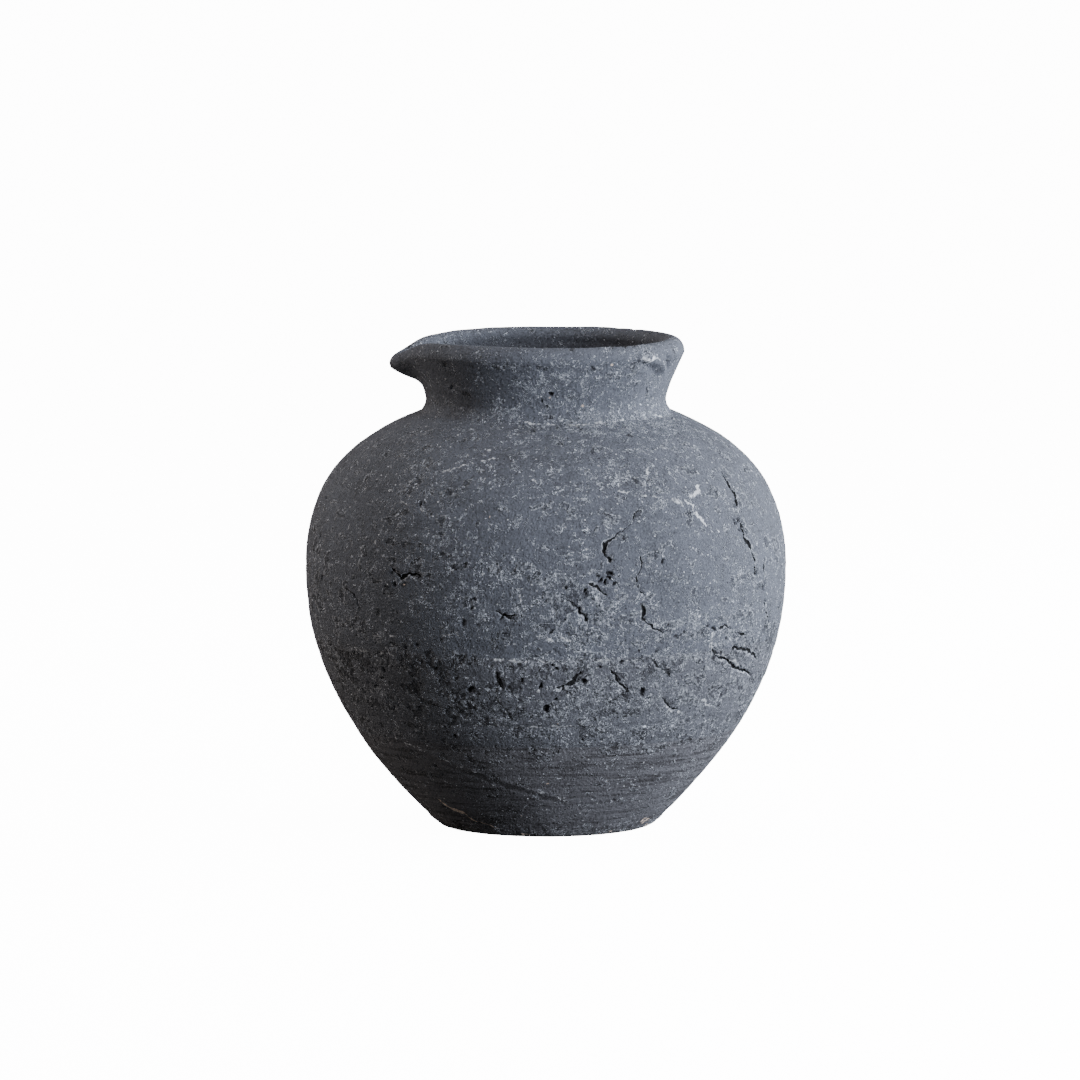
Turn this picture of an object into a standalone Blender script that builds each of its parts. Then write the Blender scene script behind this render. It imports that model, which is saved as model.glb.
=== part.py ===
"""A black clay storage pot with a poured lip, taken apart into the clay pieces it was built from.

The potter lays a floor slab, raises the wall on it in flattened coils, closes the shoulder, adds a
collar for the neck and finishes with a thick rim coil that is pinched into a pouring lip. Every piece
is luted to the one below with a lap joint: the upper piece has a spigot that sits inside the rebate
of the lower one, with a thin bed of slip between them.

Units are metres, +Z is up, and the origin is the centre of the flat underside.
"""
import math

import bmesh
import bpy
import numpy as np

# ---------------------------------------------------------------- driving sizes
POT_HEIGHT = 0.250          # underside to the crest of the rim
SHOULDER_RISE = 0.077       # widest part of the belly up to the foot of the neck
NECK_HEIGHT = 0.038         # foot of the neck up to the crest of the rim
COLLAR_HEIGHT = 0.017       # foot of the neck up to the seam of the rim coil

FOOT_RADIUS = 0.053         # where the wall's outline would meet the ground
BELLY_RADIUS = 0.1225
NECK_FOOT_RADIUS = 0.0643
THROAT_RADIUS = 0.0613      # narrowest outside radius of the neck
THROAT_RISE = 0.007         # foot of the neck up to the throat
RIM_RADIUS = 0.0702

WALL = 0.008
RIM_THICKNESS = 0.0118
BEAD_HEIGHT = 0.007         # crest of the rim down to its widest line
SLAB_HEIGHT = 0.007         # underside up to the seam of the first coil
FLOOR_LAND = 0.0025         # how far the floor stands above that seam
FOOT_ROUND = 0.0025         # rounding of the slab's lower edge

LOWER_FULLNESS = 2.15       # how soon the lower wall bellies out
SHOULDER_DROP = 0.45        # part of the shoulder's fall that comes late, just before the neck
SHOULDER_POWER = 5
FLARE_POWER = 1.3           # how the neck opens from the throat to the rim

# The wall's coils from the floor up, and their share of its length, measured along the wall.
COIL_PROPORTIONS = {
    "foot_coil": 7.0,
    "band_coil": 6.2,
    "belly_coil": 5.8,
    "shoulder_coil": 5.4,
    "crown_coil": 5.5,
}

LAP_DEPTH = 0.004           # how deep a spigot sits in the rebate below it
LAP_SHARE = 0.5             # part of the wall's thickness that the spigot takes
SLIP_GAP = 0.0003           # bed of slip left between two pieces

FILLET_REACH = 0.004        # clay smeared into the corner between wall and floor
FILLET_RISE = 0.012

LIP_REACH = 0.0095          # how far the pouring lip is pulled out past the round rim
LIP_DROOP = 0.0085          # how far its crest sinks
LIP_HALF_WIDTH = math.radians(13)
LIP_DIRECTION = math.pi     # the lip pours towards -X
LIP_UNDERCUT = 1.5          # how late, going up the rim coil, the pull sets in

SIDES = 48                  # facets round the pot
COIL_POINTS = 4             # points up each face of a coil, between its corners
BEAD_POINTS = 9
SLAB_EDGE_POINTS = 4
FINE = 400                  # points of the outline that lengths are measured on
MERGE_DISTANCE = 1e-6
SHARP_ANGLE = math.radians(35)

CLAY_COLOUR = (0.055, 0.060, 0.068, 1.0)
CLAY_ROUGHNESS = 0.92

# ---------------------------------------------------------------- derived heights
NECK_FOOT_HEIGHT = POT_HEIGHT - NECK_HEIGHT
BELLY_HEIGHT = NECK_FOOT_HEIGHT - SHOULDER_RISE
THROAT_HEIGHT = NECK_FOOT_HEIGHT + THROAT_RISE
RIM_SEAM_HEIGHT = NECK_FOOT_HEIGHT + COLLAR_HEIGHT
BEAD_LEVEL = POT_HEIGHT - BEAD_HEIGHT
FLOOR_HEIGHT = SLAB_HEIGHT + FLOOR_LAND


def outline_radius(z):
    """Outside radius at the heights z: belly, shoulder, throat and flare, each a power curve."""
    low = np.clip(z / BELLY_HEIGHT, 0, 1)
    belly = FOOT_RADIUS + (BELLY_RADIUS - FOOT_RADIUS) * (1 - (1 - low) ** LOWER_FULLNESS)
    up = np.clip((z - BELLY_HEIGHT) / SHOULDER_RISE, 0, 1)
    fall = (1 - SHOULDER_DROP) * up ** 2 + SHOULDER_DROP * up ** SHOULDER_POWER
    shoulder = BELLY_RADIUS - (BELLY_RADIUS - NECK_FOOT_RADIUS) * fall
    below = np.clip((THROAT_HEIGHT - z) / THROAT_RISE, 0, 1)
    throat = THROAT_RADIUS + (NECK_FOOT_RADIUS - THROAT_RADIUS) * below ** 2
    above = np.clip((z - THROAT_HEIGHT) / (BEAD_LEVEL - THROAT_HEIGHT), 0, 1)
    flare = THROAT_RADIUS + (RIM_RADIUS - THROAT_RADIUS) * above ** FLARE_POWER
    return np.select([z < BELLY_HEIGHT, z < NECK_FOOT_HEIGHT, z < THROAT_HEIGHT], [belly, shoulder, throat], flare)


def wall_thickness(z):
    """WALL up to the throat, then swelling evenly to the thickness of the rim."""
    up = np.clip((z - THROAT_HEIGHT) / (BEAD_LEVEL - THROAT_HEIGHT), 0, 1)
    return WALL + (RIM_THICKNESS - WALL) * up


heights = np.linspace(0, BEAD_LEVEL, FINE)
outer = np.column_stack([outline_radius(heights), heights])
steps = np.gradient(outer, axis=0)
normals = np.column_stack([steps[:, 1], -steps[:, 0]]) / np.linalg.norm(steps, axis=1)[:, None]
along = np.concatenate([[0], np.cumsum(np.linalg.norm(np.diff(outer, axis=0), axis=1))])


def outline_at(s):
    """The point, the outward normal and the upward tangent of the outline at the length s."""
    point = np.array([np.interp(s, along, outer[:, axis]) for axis in (0, 1)])
    normal = np.array([np.interp(s, along, normals[:, axis]) for axis in (0, 1)])
    normal /= np.linalg.norm(normal)
    return point, normal, np.array([-normal[1], normal[0]])


def wall_point(s, depth):
    """A point (r, z) at the length s along the outline and depth (0 outside, 1 inside) into the wall."""
    point, normal, _ = outline_at(s)
    point = point - normal * depth * wall_thickness(point[1])
    if depth > 0:
        corner = np.clip(1 - (point[1] - FLOOR_HEIGHT) / FILLET_RISE, 0, 1)
        point[0] -= depth * FILLET_REACH * corner ** 2
    return point


def length_at(z):
    """The length along the outline at the height z."""
    return np.interp(z, heights, along)


def surface(start, end, depth, points):
    """Points of the wall's outside (depth 0) or inside (depth 1) between two lengths, ends left out."""
    return [wall_point(s, depth) for s in np.linspace(start, end, points + 2)[1:-1]]


def lap(seam, gap):
    """The lap joint at the length seam, from the outside in: ledge, step and rebate floor.

    A gap of 0 gives the lower piece's face. The upper piece's face lies the gap above it, and its
    spigot stays the same gap clear of the rebate's wall.
    """
    point, normal, tangent = outline_at(seam)
    thickness = wall_thickness(point[1])
    step = LAP_SHARE * thickness + gap
    ledge, rebate = tangent * gap, tangent * (gap - LAP_DEPTH)
    return [point + ledge, point + ledge - normal * step,
            point + rebate - normal * step, point + rebate - normal * thickness]


def ring_section(foot, outside, head, inside):
    """Closed section of a ring: up the outside, in over the head, down the inside, out at the foot."""
    return [foot[0]] + outside + head + inside + foot[:0:-1]


# ---------------------------------------------------------------- meshes
def clay_material(name):
    """One matte smoke-blackened clay, a separate copy for each piece."""
    material = bpy.data.materials.new(name)
    material.use_nodes = True
    shader = material.node_tree.nodes["Principled BSDF"]
    shader.inputs["Base Color"].default_value = CLAY_COLOUR
    shader.inputs["Roughness"].default_value = CLAY_ROUGHNESS
    shader.inputs["Metallic"].default_value = 0.0
    return material


def turned_piece(name, section, closed=True):
    """Spins a section (r, z) round +Z into a closed piece and links it to the scene."""
    mesh = bpy.data.meshes.new(name)
    bm = bmesh.new()
    verts = [bm.verts.new((r, 0.0, z)) for r, z in section]
    edges = [bm.edges.new(pair) for pair in zip(verts, verts[1:])]
    if closed:
        edges.append(bm.edges.new((verts[-1], verts[0])))
    bmesh.ops.spin(bm, geom=verts + edges, cent=(0, 0, 0), axis=(0, 0, 1), angle=2 * math.pi,
                   steps=SIDES, use_merge=True, use_duplicate=False)
    bmesh.ops.remove_doubles(bm, verts=bm.verts, dist=MERGE_DISTANCE)
    bmesh.ops.recalc_face_normals(bm, faces=bm.faces)
    bm.to_mesh(mesh)
    bm.free()
    mesh.shade_smooth()
    mesh.set_sharp_from_angle(angle=SHARP_ANGLE)
    mesh.materials.append(clay_material(name))
    piece = bpy.data.objects.new(name, mesh)
    bpy.context.scene.collection.objects.link(piece)
    return piece


def pull_lip(piece):
    """Pinches the pouring lip into the rim coil: out and down, fading to nothing at the rim's seam."""
    mesh = piece.data
    flat = np.empty(len(mesh.vertices) * 3)
    mesh.vertices.foreach_get("co", flat)
    co = flat.reshape(-1, 3)
    turn = np.arctan2(co[:, 1], co[:, 0]) - LIP_DIRECTION
    turn = (turn + math.pi) % (2 * math.pi) - math.pi
    seam_top = RIM_SEAM_HEIGHT + SLIP_GAP
    rise = np.clip((co[:, 2] - seam_top) / (POT_HEIGHT - seam_top), 0, 1)
    pull = np.exp(-(turn / LIP_HALF_WIDTH) ** 2) * rise ** LIP_UNDERCUT
    radius = np.hypot(co[:, 0], co[:, 1])
    co[:, :2] *= ((radius + LIP_REACH * pull) / radius)[:, None]
    co[:, 2] -= LIP_DROOP * pull
    mesh.vertices.foreach_set("co", co.ravel())
    mesh.update()


def bezier(start, pull, end, t):
    """A point of the quadratic curve from start to end that is drawn towards pull."""
    return [(1 - t) ** 2 * a + 2 * t * (1 - t) * b + t ** 2 * c for a, b, c in zip(start, pull, end)]


# ---------------------------------------------------------------- the pot
def floor_slab(seam):
    """The slab that the wall stands on, with a land that keys into the first coil."""
    heel, toe, bend = (FOOT_RADIUS - FOOT_ROUND, 0), (FOOT_RADIUS, 0), length_at(FOOT_ROUND)
    rounding = [bezier(heel, toe, wall_point(bend, 0.0), t) for t in np.linspace(0, 1, SLAB_EDGE_POINTS)]
    land_radius = wall_point(seam, 1.0)[0] - SLIP_GAP
    section = [(0, 0)] + rounding + surface(bend, seam, 0.0, 1) + [wall_point(seam, 0.0)]
    section += [(land_radius, SLAB_HEIGHT), (land_radius, FLOOR_HEIGHT), (0, FLOOR_HEIGHT)]
    turned_piece("floor_slab", section, closed=False)


def foot_coil(lower, upper):
    """The first coil: it stands on the slab's ledge, round the land, instead of in a rebate."""
    inner = wall_point(lower, 1.0)[0]
    ledge = SLAB_HEIGHT + SLIP_GAP
    start = length_at(ledge)
    outside = [wall_point(start, 0.0)] + surface(start, upper, 0.0, COIL_POINTS)
    floor_corner = next(s for s in along if wall_point(s, 1.0)[1] > FLOOR_HEIGHT)
    inside = surface(upper - LAP_DEPTH, floor_corner, 1.0, COIL_POINTS)
    turned_piece("foot_coil", outside + lap(upper, 0.0) + inside + [(inner, FLOOR_HEIGHT), (inner, ledge)])


def wall_coil(name, lower, upper):
    """A coil between two lap joints, its spigot down in the piece below."""
    outside = surface(lower + SLIP_GAP, upper, 0.0, COIL_POINTS)
    inside = surface(upper - LAP_DEPTH, lower + SLIP_GAP - LAP_DEPTH, 1.0, COIL_POINTS)
    turned_piece(name, ring_section(lap(lower, SLIP_GAP), outside, lap(upper, 0.0), inside))


def rim_coil(lower):
    """The thick rim: a flared coil with an elliptical bead, pinched into the pouring lip."""
    top = length_at(BEAD_LEVEL)
    centre = RIM_RADIUS - RIM_THICKNESS / 2
    outside = surface(lower + SLIP_GAP, top, 0.0, COIL_POINTS)
    bead = [(centre + RIM_THICKNESS / 2 * math.cos(a), BEAD_LEVEL + BEAD_HEIGHT * math.sin(a))
            for a in np.linspace(0, math.pi, BEAD_POINTS)]
    inside = [point for point in surface(top, lower + SLIP_GAP - LAP_DEPTH, 1.0, COIL_POINTS)
              if point[1] < BEAD_LEVEL - BEAD_HEIGHT / 2]
    pull_lip(turned_piece("rim_coil", ring_section(lap(lower, SLIP_GAP), outside, bead, inside)))


for old in list(bpy.data.objects):
    bpy.data.objects.remove(old, do_unlink=True)

slab_seam = length_at(SLAB_HEIGHT)
neck_seam = length_at(NECK_FOOT_HEIGHT)
rim_seam = length_at(RIM_SEAM_HEIGHT)
shares = np.cumsum(list(COIL_PROPORTIONS.values())) / sum(COIL_PROPORTIONS.values())
seams = [slab_seam + (neck_seam - slab_seam) * share for share in shares]

floor_slab(slab_seam)
foot_coil(slab_seam, seams[0])
for name, lower, upper in zip(list(COIL_PROPORTIONS)[1:], seams, seams[1:]):
    wall_coil(name, lower, upper)
wall_coil("neck_collar", neck_seam, rim_seam)
rim_coil(rim_seam)
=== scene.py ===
# %% [markdown]
# # A black clay pot with a pouring lip
#
# Barro negro is clay that turns black in the kiln: near the end of the firing the potter seals every
# opening, and the trapped smoke goes right through the wall. This pot was never burnished, so its skin
# stays matte, with pits, drying cracks, scrape marks and a little white lime that has bloomed out of it.
#
# The pot was built from a floor slab, five wall coils, a neck collar and a rim coil. Each becomes one
# closed mesh here. All eight are cut from the same modelled skin, so their edges meet without a step.

import math

import bpy
import numpy as np
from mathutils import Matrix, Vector


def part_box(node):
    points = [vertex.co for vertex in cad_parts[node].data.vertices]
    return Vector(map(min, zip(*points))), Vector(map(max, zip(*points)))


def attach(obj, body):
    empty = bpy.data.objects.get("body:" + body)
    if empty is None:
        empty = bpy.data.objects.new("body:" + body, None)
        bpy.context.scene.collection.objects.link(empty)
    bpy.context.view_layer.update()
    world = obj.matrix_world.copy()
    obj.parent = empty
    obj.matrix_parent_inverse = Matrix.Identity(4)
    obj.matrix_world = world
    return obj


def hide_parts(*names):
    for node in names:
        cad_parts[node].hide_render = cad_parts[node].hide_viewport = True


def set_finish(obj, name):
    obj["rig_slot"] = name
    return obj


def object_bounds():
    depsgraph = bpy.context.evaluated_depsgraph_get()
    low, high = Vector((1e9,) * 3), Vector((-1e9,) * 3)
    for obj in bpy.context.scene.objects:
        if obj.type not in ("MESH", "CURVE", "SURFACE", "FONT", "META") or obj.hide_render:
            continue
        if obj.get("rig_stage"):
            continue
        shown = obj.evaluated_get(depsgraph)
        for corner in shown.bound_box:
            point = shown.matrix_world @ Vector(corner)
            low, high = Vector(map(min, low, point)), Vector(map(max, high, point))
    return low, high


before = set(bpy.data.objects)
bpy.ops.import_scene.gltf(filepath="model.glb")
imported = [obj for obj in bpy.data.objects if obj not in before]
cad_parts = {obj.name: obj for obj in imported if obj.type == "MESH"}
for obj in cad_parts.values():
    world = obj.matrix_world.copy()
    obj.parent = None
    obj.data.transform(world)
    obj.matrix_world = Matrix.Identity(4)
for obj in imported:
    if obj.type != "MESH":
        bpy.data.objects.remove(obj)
cad_low, cad_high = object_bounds()
MM = 0.001
print("clay pieces:", ", ".join(sorted(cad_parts)))

# %% [markdown]
# ## The outline
#
# A turned or coiled pot is known by its outline, the line from the ground up to the rim. Four power
# curves give this one: a belly that fills out early, a shoulder that rolls over late, a short throat
# and a flaring neck. A half ellipse makes the thick rolled rim. The outline is drawn once, as one
# path from the heel of the foot up the outside, over the rim and down the inside of the neck, and
# every later step asks only for the length along this path.

# %% Heights and radii of the outline
SLAB_TOP = 7 * MM
FLOOR_TOP = 9.5 * MM
BELLY_LEVEL = 135 * MM
NECK_FOOT = 212 * MM
THROAT = 219 * MM
RIM_SEAM = 229 * MM
BEAD_LEVEL = 243 * MM
CREST = cad_high.z

FOOT_RADIUS = 53 * MM
BELLY_RADIUS = 122.5 * MM
NECK_FOOT_RADIUS = 64.3 * MM
THROAT_RADIUS = 61.3 * MM
RIM_RADIUS = 70.2 * MM

WALL = 8 * MM
RIM_THICKNESS = 11.8 * MM
FOOT_ROUND = 2.5 * MM
LEVEL_TURN = 8 * MM     # how far below the rim its inside starts to turn


def outline_radius(z):
    """Outside radius at the heights z: belly, shoulder, throat and flare, each a power curve."""
    low = np.clip(z / BELLY_LEVEL, 0, 1)
    belly = FOOT_RADIUS + (BELLY_RADIUS - FOOT_RADIUS) * (1 - (1 - low) ** 2.15)
    up = np.clip((z - BELLY_LEVEL) / (NECK_FOOT - BELLY_LEVEL), 0, 1)
    shoulder = BELLY_RADIUS - (BELLY_RADIUS - NECK_FOOT_RADIUS) * (0.55 * up ** 2 + 0.45 * up ** 5)
    below = np.clip((THROAT - z) / (THROAT - NECK_FOOT), 0, 1)
    throat = THROAT_RADIUS + (NECK_FOOT_RADIUS - THROAT_RADIUS) * below ** 2
    above = np.clip((z - THROAT) / (BEAD_LEVEL - THROAT), 0, 1)
    flare = THROAT_RADIUS + (RIM_RADIUS - THROAT_RADIUS) * above ** 1.3
    return np.select([z < BELLY_LEVEL, z < NECK_FOOT, z < THROAT], [belly, shoulder, throat], flare)


def wall_thickness(z):
    """The wall's thickness up to the throat, then swelling evenly to the thickness of the rim."""
    return WALL + (RIM_THICKNESS - WALL) * np.clip((z - THROAT) / (BEAD_LEVEL - THROAT), 0, 1)


def smooth(x, start, end):
    """0 before start, 1 after end, and an S-curve between them."""
    t = np.clip((x - start) / (end - start), 0, 1)
    return t * t * (3 - 2 * t)


def across(line):
    """The outward normal of a path (radius, height): its direction, turned a quarter outwards."""
    step = np.gradient(line, axis=0)
    step /= np.linalg.norm(step, axis=1)[:, None]
    return np.column_stack([step[:, 1], -step[:, 0]])


# %% One path from the heel of the foot to the inside of the neck
t = np.linspace(0, 1, 20)[:-1, None]
heel = np.array([FOOT_RADIUS - FOOT_ROUND, 0.0])
toe = np.array([FOOT_RADIUS, 0.0])
side = np.array([float(outline_radius(np.array(FOOT_ROUND))), FOOT_ROUND])
rounding = (1 - t) ** 2 * heel + 2 * t * (1 - t) * toe + t ** 2 * side

heights = np.linspace(FOOT_ROUND, BEAD_LEVEL, 1400)
outside = np.column_stack([outline_radius(heights), heights])

turn = np.linspace(0, math.pi, 90)[1:-1]
bead = np.column_stack([RIM_RADIUS - RIM_THICKNESS / 2 * (1 - np.cos(turn)),
                        BEAD_LEVEL + (CREST - BEAD_LEVEL) * np.sin(turn)])


def inner_face(z):
    """The inside of the wall: the outline moved in by its thickness, square to the wall.

    Close under the rim the move turns level, so that the inside runs into the rim's half ellipse.
    """
    line = np.column_stack([outline_radius(z), z])
    thick = wall_thickness(z)[:, None]
    level = smooth(z, BEAD_LEVEL - LEVEL_TURN, BEAD_LEVEL)[:, None]
    return line - thick * ((1 - level) * across(line) + level * np.array([1.0, 0.0]))


neck_inside = inner_face(np.linspace(NECK_FOOT, BEAD_LEVEL, 200))[::-1]
path = np.vstack([rounding, outside, bead, neck_inside])
path_normal = across(path)
along = np.concatenate([[0], np.cumsum(np.linalg.norm(np.diff(path, axis=0), axis=1))])
BEAD_START = len(rounding) + len(outside)


def at_length(s):
    """The point and the outward normal of the path at the lengths s along it, each (radius, height)."""
    point = np.stack([np.interp(s, along, path[:, k]) for k in (0, 1)], axis=-1)
    normal = np.stack([np.interp(s, along, path_normal[:, k]) for k in (0, 1)], axis=-1)
    return point, normal / np.linalg.norm(normal, axis=-1, keepdims=True)


def length_at(z):
    """The length along the path where its outside reaches the height z."""
    return float(np.interp(z, path[:BEAD_START, 1], along[:BEAD_START]))


print("outline: %.0f mm from the heel to the crest" % (along[BEAD_START + len(bead) // 2] / MM))
print("rim of the model %.1f mm high, of the frame %.1f mm" % (path[:, 1].max() / MM, cad_high.z / MM))

# %% [markdown]
# ## Where the coils meet
#
# A coil potter lays one fat coil of clay after another. The first two seams show on this pot, so the
# coils above are given the same height, measured along the wall. Neighbours are joined with a lap:
# the upper piece has a spigot that sits inside a rebate in the lower one, in a thin bed of slip.

# %% Seams of the coils
COILS = {
    "foot_coil": 7.0, "band_coil": 6.2, "belly_coil": 5.8, "shoulder_coil": 5.4, "crown_coil": 5.5,
}   # share of the wall's length
LAP_DEPTH = 4 * MM
LAP_SHARE = 0.5
SLIP_GAP = 0.3 * MM

slab_seam = length_at(SLAB_TOP)
neck_seam = length_at(NECK_FOOT)
rim_seam = length_at(RIM_SEAM)
shares = np.cumsum(list(COILS.values())) / sum(COILS.values())
coil_seams = [slab_seam + (neck_seam - slab_seam) * share for share in shares]
for name, seam in zip(COILS, coil_seams):
    top = at_length(seam)[0][1]
    print(f"{name}: upper seam at {top / MM:.1f} mm, frame {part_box(name)[1].z / MM:.1f} mm")

# %% [markdown]
# ## Random hills
#
# Clay is never smooth. Value noise gives it soft hills: random numbers sit on a lattice, and the
# points between them blend their neighbours. Cutting such hills off at a level gives ragged patches,
# where the skin has worn through. The numbers come from mixing the bits of the lattice place, so the
# same place always gets the same number and two neighbouring coils agree along their seam.

# %% Noise
def lattice(ix, iy, iz, salt):
    """A repeatable number from 0 to 1 for each whole lattice place: the bits of its place, mixed."""
    h = ix.astype(np.uint32) * np.uint32(374761393) + iy.astype(np.uint32) * np.uint32(668265263)
    h += iz.astype(np.uint32) * np.uint32(2246822519) + np.uint32(salt * 974634777 % 2 ** 32)
    h = (h ^ (h >> np.uint32(13))) * np.uint32(1274126177)
    h = (h ^ (h >> np.uint32(16))) * np.uint32(2654435761)
    return ((h ^ (h >> np.uint32(15))) & np.uint32(0xFFFFF)) / float(0xFFFFF)


def hills(points, size, salt):
    """Soft random hills from -1 to 1. A hill is about size wide, in the points' own unit."""
    scaled = points / size
    cell = np.floor(scaled).astype(np.int64)
    part = scaled - cell
    part = part * part * (3 - 2 * part)
    total = 0
    for corner in np.ndindex(2, 2, 2):
        share = np.prod([part[..., k] if corner[k] else 1 - part[..., k] for k in range(3)], axis=0)
        total = total + share * lattice(*[cell[..., k] + corner[k] for k in range(3)], salt)
    return total * 2 - 1


def rough_hills(points, size, salt, layers=3):
    """Hills with smaller hills on them: each layer is half as wide and half as high as the one before."""
    total = sum(hills(points, size / 2 ** k, salt + 7 * k) / 2 ** k for k in range(layers))
    return total / (2 - 0.5 ** (layers - 1))


# %% [markdown]
# ## Marks that have a place
#
# Some marks are this pot's own: the drying cracks down the belly, the flake that lifts on the right,
# lime strokes on the shoulder, buff chips at the foot. Each is a line or a dot on the wall, given as
# (angle, height): the angle in degrees from the front, turning to the right, and the height in mm.
# The wall is unrolled round each mark, and the distance to the mark is measured there in mm.

# %% Cracks, as (half width, depth, line) in mm
CRACKS = [
    (0.2, 0.45, [(24, 173), (21.8, 168.3), (20.2, 164.6), (17.6, 161.3)]),
    (0.45, 0.9, [(17.6, 161.3), (15.6, 158.3), (14, 155)]),
    (0.75, 1.5, [(14.1, 156), (13.9, 152.5), (14.9, 148.8)]),
    (0.6, 1.0, [(5.4, 128.3), (6.4, 126.7), (7.6, 125)]),
    (0.9, 1.5, [(7.6, 125), (8.6, 121.7), (9.6, 118.8)]),
    (0.5, 0.9, [(10.4, 137), (13, 134.5), (14.2, 131.8)]),
    (0.4, 0.6, [(22.8, 150), (22.8, 145), (22.4, 141.7), (21.8, 139.2), (21.8, 135), (23.4, 131.7)]),
    (0.9, 1.5, [(23.4, 124.6), (23.6, 122), (23.5, 119.2)]),
    (0.35, 0.5, [(23.5, 119.2), (25, 116), (26.4, 113.6), (29, 110)]),
    (0.85, 1.3, [(58.2, 186.5), (58, 182.5), (57.4, 179.2), (58, 174.6), (57, 171)]),
    (0.8, 1.4, [(56, 160), (55.8, 155), (57.2, 151.7), (58.4, 147.5), (59.8, 142.5), (59.6, 136.7)]),
    (0.85, 1.4, [(65.2, 140.8), (64.4, 133.3), (63.6, 128.3)]),
    (0.5, 0.8, [(65, 120.8), (66, 116), (69, 111), (69.5, 106)]),
    (0.85, 1.6, [(45.2, 99.5), (47.6, 95.8), (51.6, 92.9), (56.4, 88.3), (61.2, 85.4), (66.2, 82.1)]),
    (0.8, 1.4, [(53.6, 99.2), (60, 96.3), (64, 93.3), (67.5, 90.5)]),
    (0.6, 1.0, [(46.8, 110), (48.6, 110.8), (50.4, 110)]),
    (0.5, 0.8, [(52.8, 107), (55, 105.6), (57.6, 104.6)]),
    (0.7, 1.2, [(16.6, 91.3), (18.8, 85.4), (20.8, 82.5)]),
    (0.6, 1.0, [(32.4, 76.3), (34, 72.1), (37.2, 69.6)]),
    (0.55, 0.9, [(26.8, 96.3), (30.4, 91.7), (32.8, 87.1)]),
    (0.7, 1.2, [(8.5, 91.5), (7.2, 87.5), (5, 84.8), (2.5, 83.5)]),
    (0.5, 0.8, [(-12.4, 91.5), (-12.7, 87), (-11.2, 84)]),
    (0.45, 0.7, [(-54.8, 128.3), (-51.2, 124.2), (-50.8, 118.3)]),
    (0.6, 1.0, [(-38.6, 141), (-36.4, 136.7), (-34, 139.6), (-30.8, 139.2)]),
    (0.5, 0.9, [(-12, 122.6), (-10, 120.8), (-8.6, 119.4)]),
    (0.45, 0.8, [(-11.4, 118.6), (-10, 120.8), (-7.6, 121.2)]),
    (0.5, 0.8, [(56.8, 209.2), (58.8, 208.6), (60.2, 207.4)]),
]

# %% Pits, as (angle, height, radius, depth) in degrees and mm
PITS = [
    (15, 141.7, 1.6, 2.2), (14.6, 139.6, 1.2, 1.8), (14, 137.5, 1.3, 1.8), (12.8, 138.3, 1.2, 1.7),
    (16.3, 136.7, 1.3, 1.8), (12.2, 140.6, 0.9, 1.2), (11.6, 135.4, 1.1, 1.6), (9.4, 133.8, 1.3, 1.8),
    (9.6, 131.7, 1.1, 1.6), (10.6, 129.8, 0.9, 1.3), (11.2, 128.4, 0.8, 1.2), (28.8, 146.7, 1.1, 1.6),
    (4.8, 150, 0.7, 1.0), (4.2, 134.6, 0.9, 1.2), (53.2, 162.5, 1.4, 1.8), (55, 163.3, 1.2, 1.6),
    (56, 160.4, 1.9, 2.4), (54.6, 158.4, 1.1, 1.4), (59.6, 136.7, 1.9, 2.2), (63.6, 128.3, 1.9, 2.2),
    (65, 120.8, 1.4, 1.8), (42.4, 112, 1.4, 1.8), (44.4, 110, 1.3, 1.7), (25.4, 80.4, 1.7, 2.2),
    (52.4, 77.9, 1.2, 1.6), (9.6, 87.1, 1.5, 2.0), (4, 83.3, 1.2, 1.7), (2.2, 93.8, 1.2, 1.7),
    (0.2, 73.3, 1.4, 1.9), (16, 55.8, 1.0, 1.3), (10.6, 55.8, 0.9, 1.2), (-12.4, 88.3, 1.6, 2.0),
    (-12.0, 86, 1.3, 1.8), (-19.4, 82.5, 1.5, 1.9), (-26.8, 56.7, 1.3, 1.6), (-38.8, 38.8, 1.1, 1.5),
    (-6, 87.9, 1.1, 1.6), (-44.8, 88.8, 1.3, 1.6), (27.6, 20.8, 0.9, 1.1), (18.4, 22.1, 0.8, 1.0),
    (-33.4, 174.2, 1.1, 1.4), (-68.8, 187.5, 1.2, 1.4), (-76, 170, 1.3, 1.5), (-71.2, 152.1, 1.3, 1.6),
    (-71.8, 144.6, 1.2, 1.5), (-67.6, 131.7, 1.3, 1.6), (-34, 139.6, 0.9, 1.3), (-36.4, 136.7, 1.2, 1.6),
    (-38.4, 134.2, 1.0, 1.3), (-30.8, 139.2, 0.9, 1.2), (-10, 120.8, 1.3, 1.9), (-17.6, 124.2, 1.0, 1.4),
    (-17.2, 129.2, 0.9, 1.3), (-20, 117.1, 1.4, 0.9), (1.0, 112.6, 1.0, 1.4), (4.4, 112.2, 0.9, 1.3),
    (2.4, 226.3, 1.1, 1.5), (-2, 223, 0.9, 1.2), (-48, 228.3, 1.1, 1.3), (7.2, 227, 0.6, 0.8),
    (18.5, 97.2, 1.2, 1.6), (23, 101.8, 1.1, 1.5), (27.4, 100.6, 1.0, 1.4), (33, 108, 1.2, 1.6),
    (35, 110.4, 1.1, 1.5), (37.6, 108.6, 1.0, 1.3), (-1.5, 84.5, 1.3, 1.8), (2.8, 78.2, 1.3, 1.7),
    (13, 94.6, 1.2, 1.6), (-33, 103.5, 1.0, 1.2), (43.6, 90, 1.1, 1.4), (49.8, 104, 1.1, 1.4),
]

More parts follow.
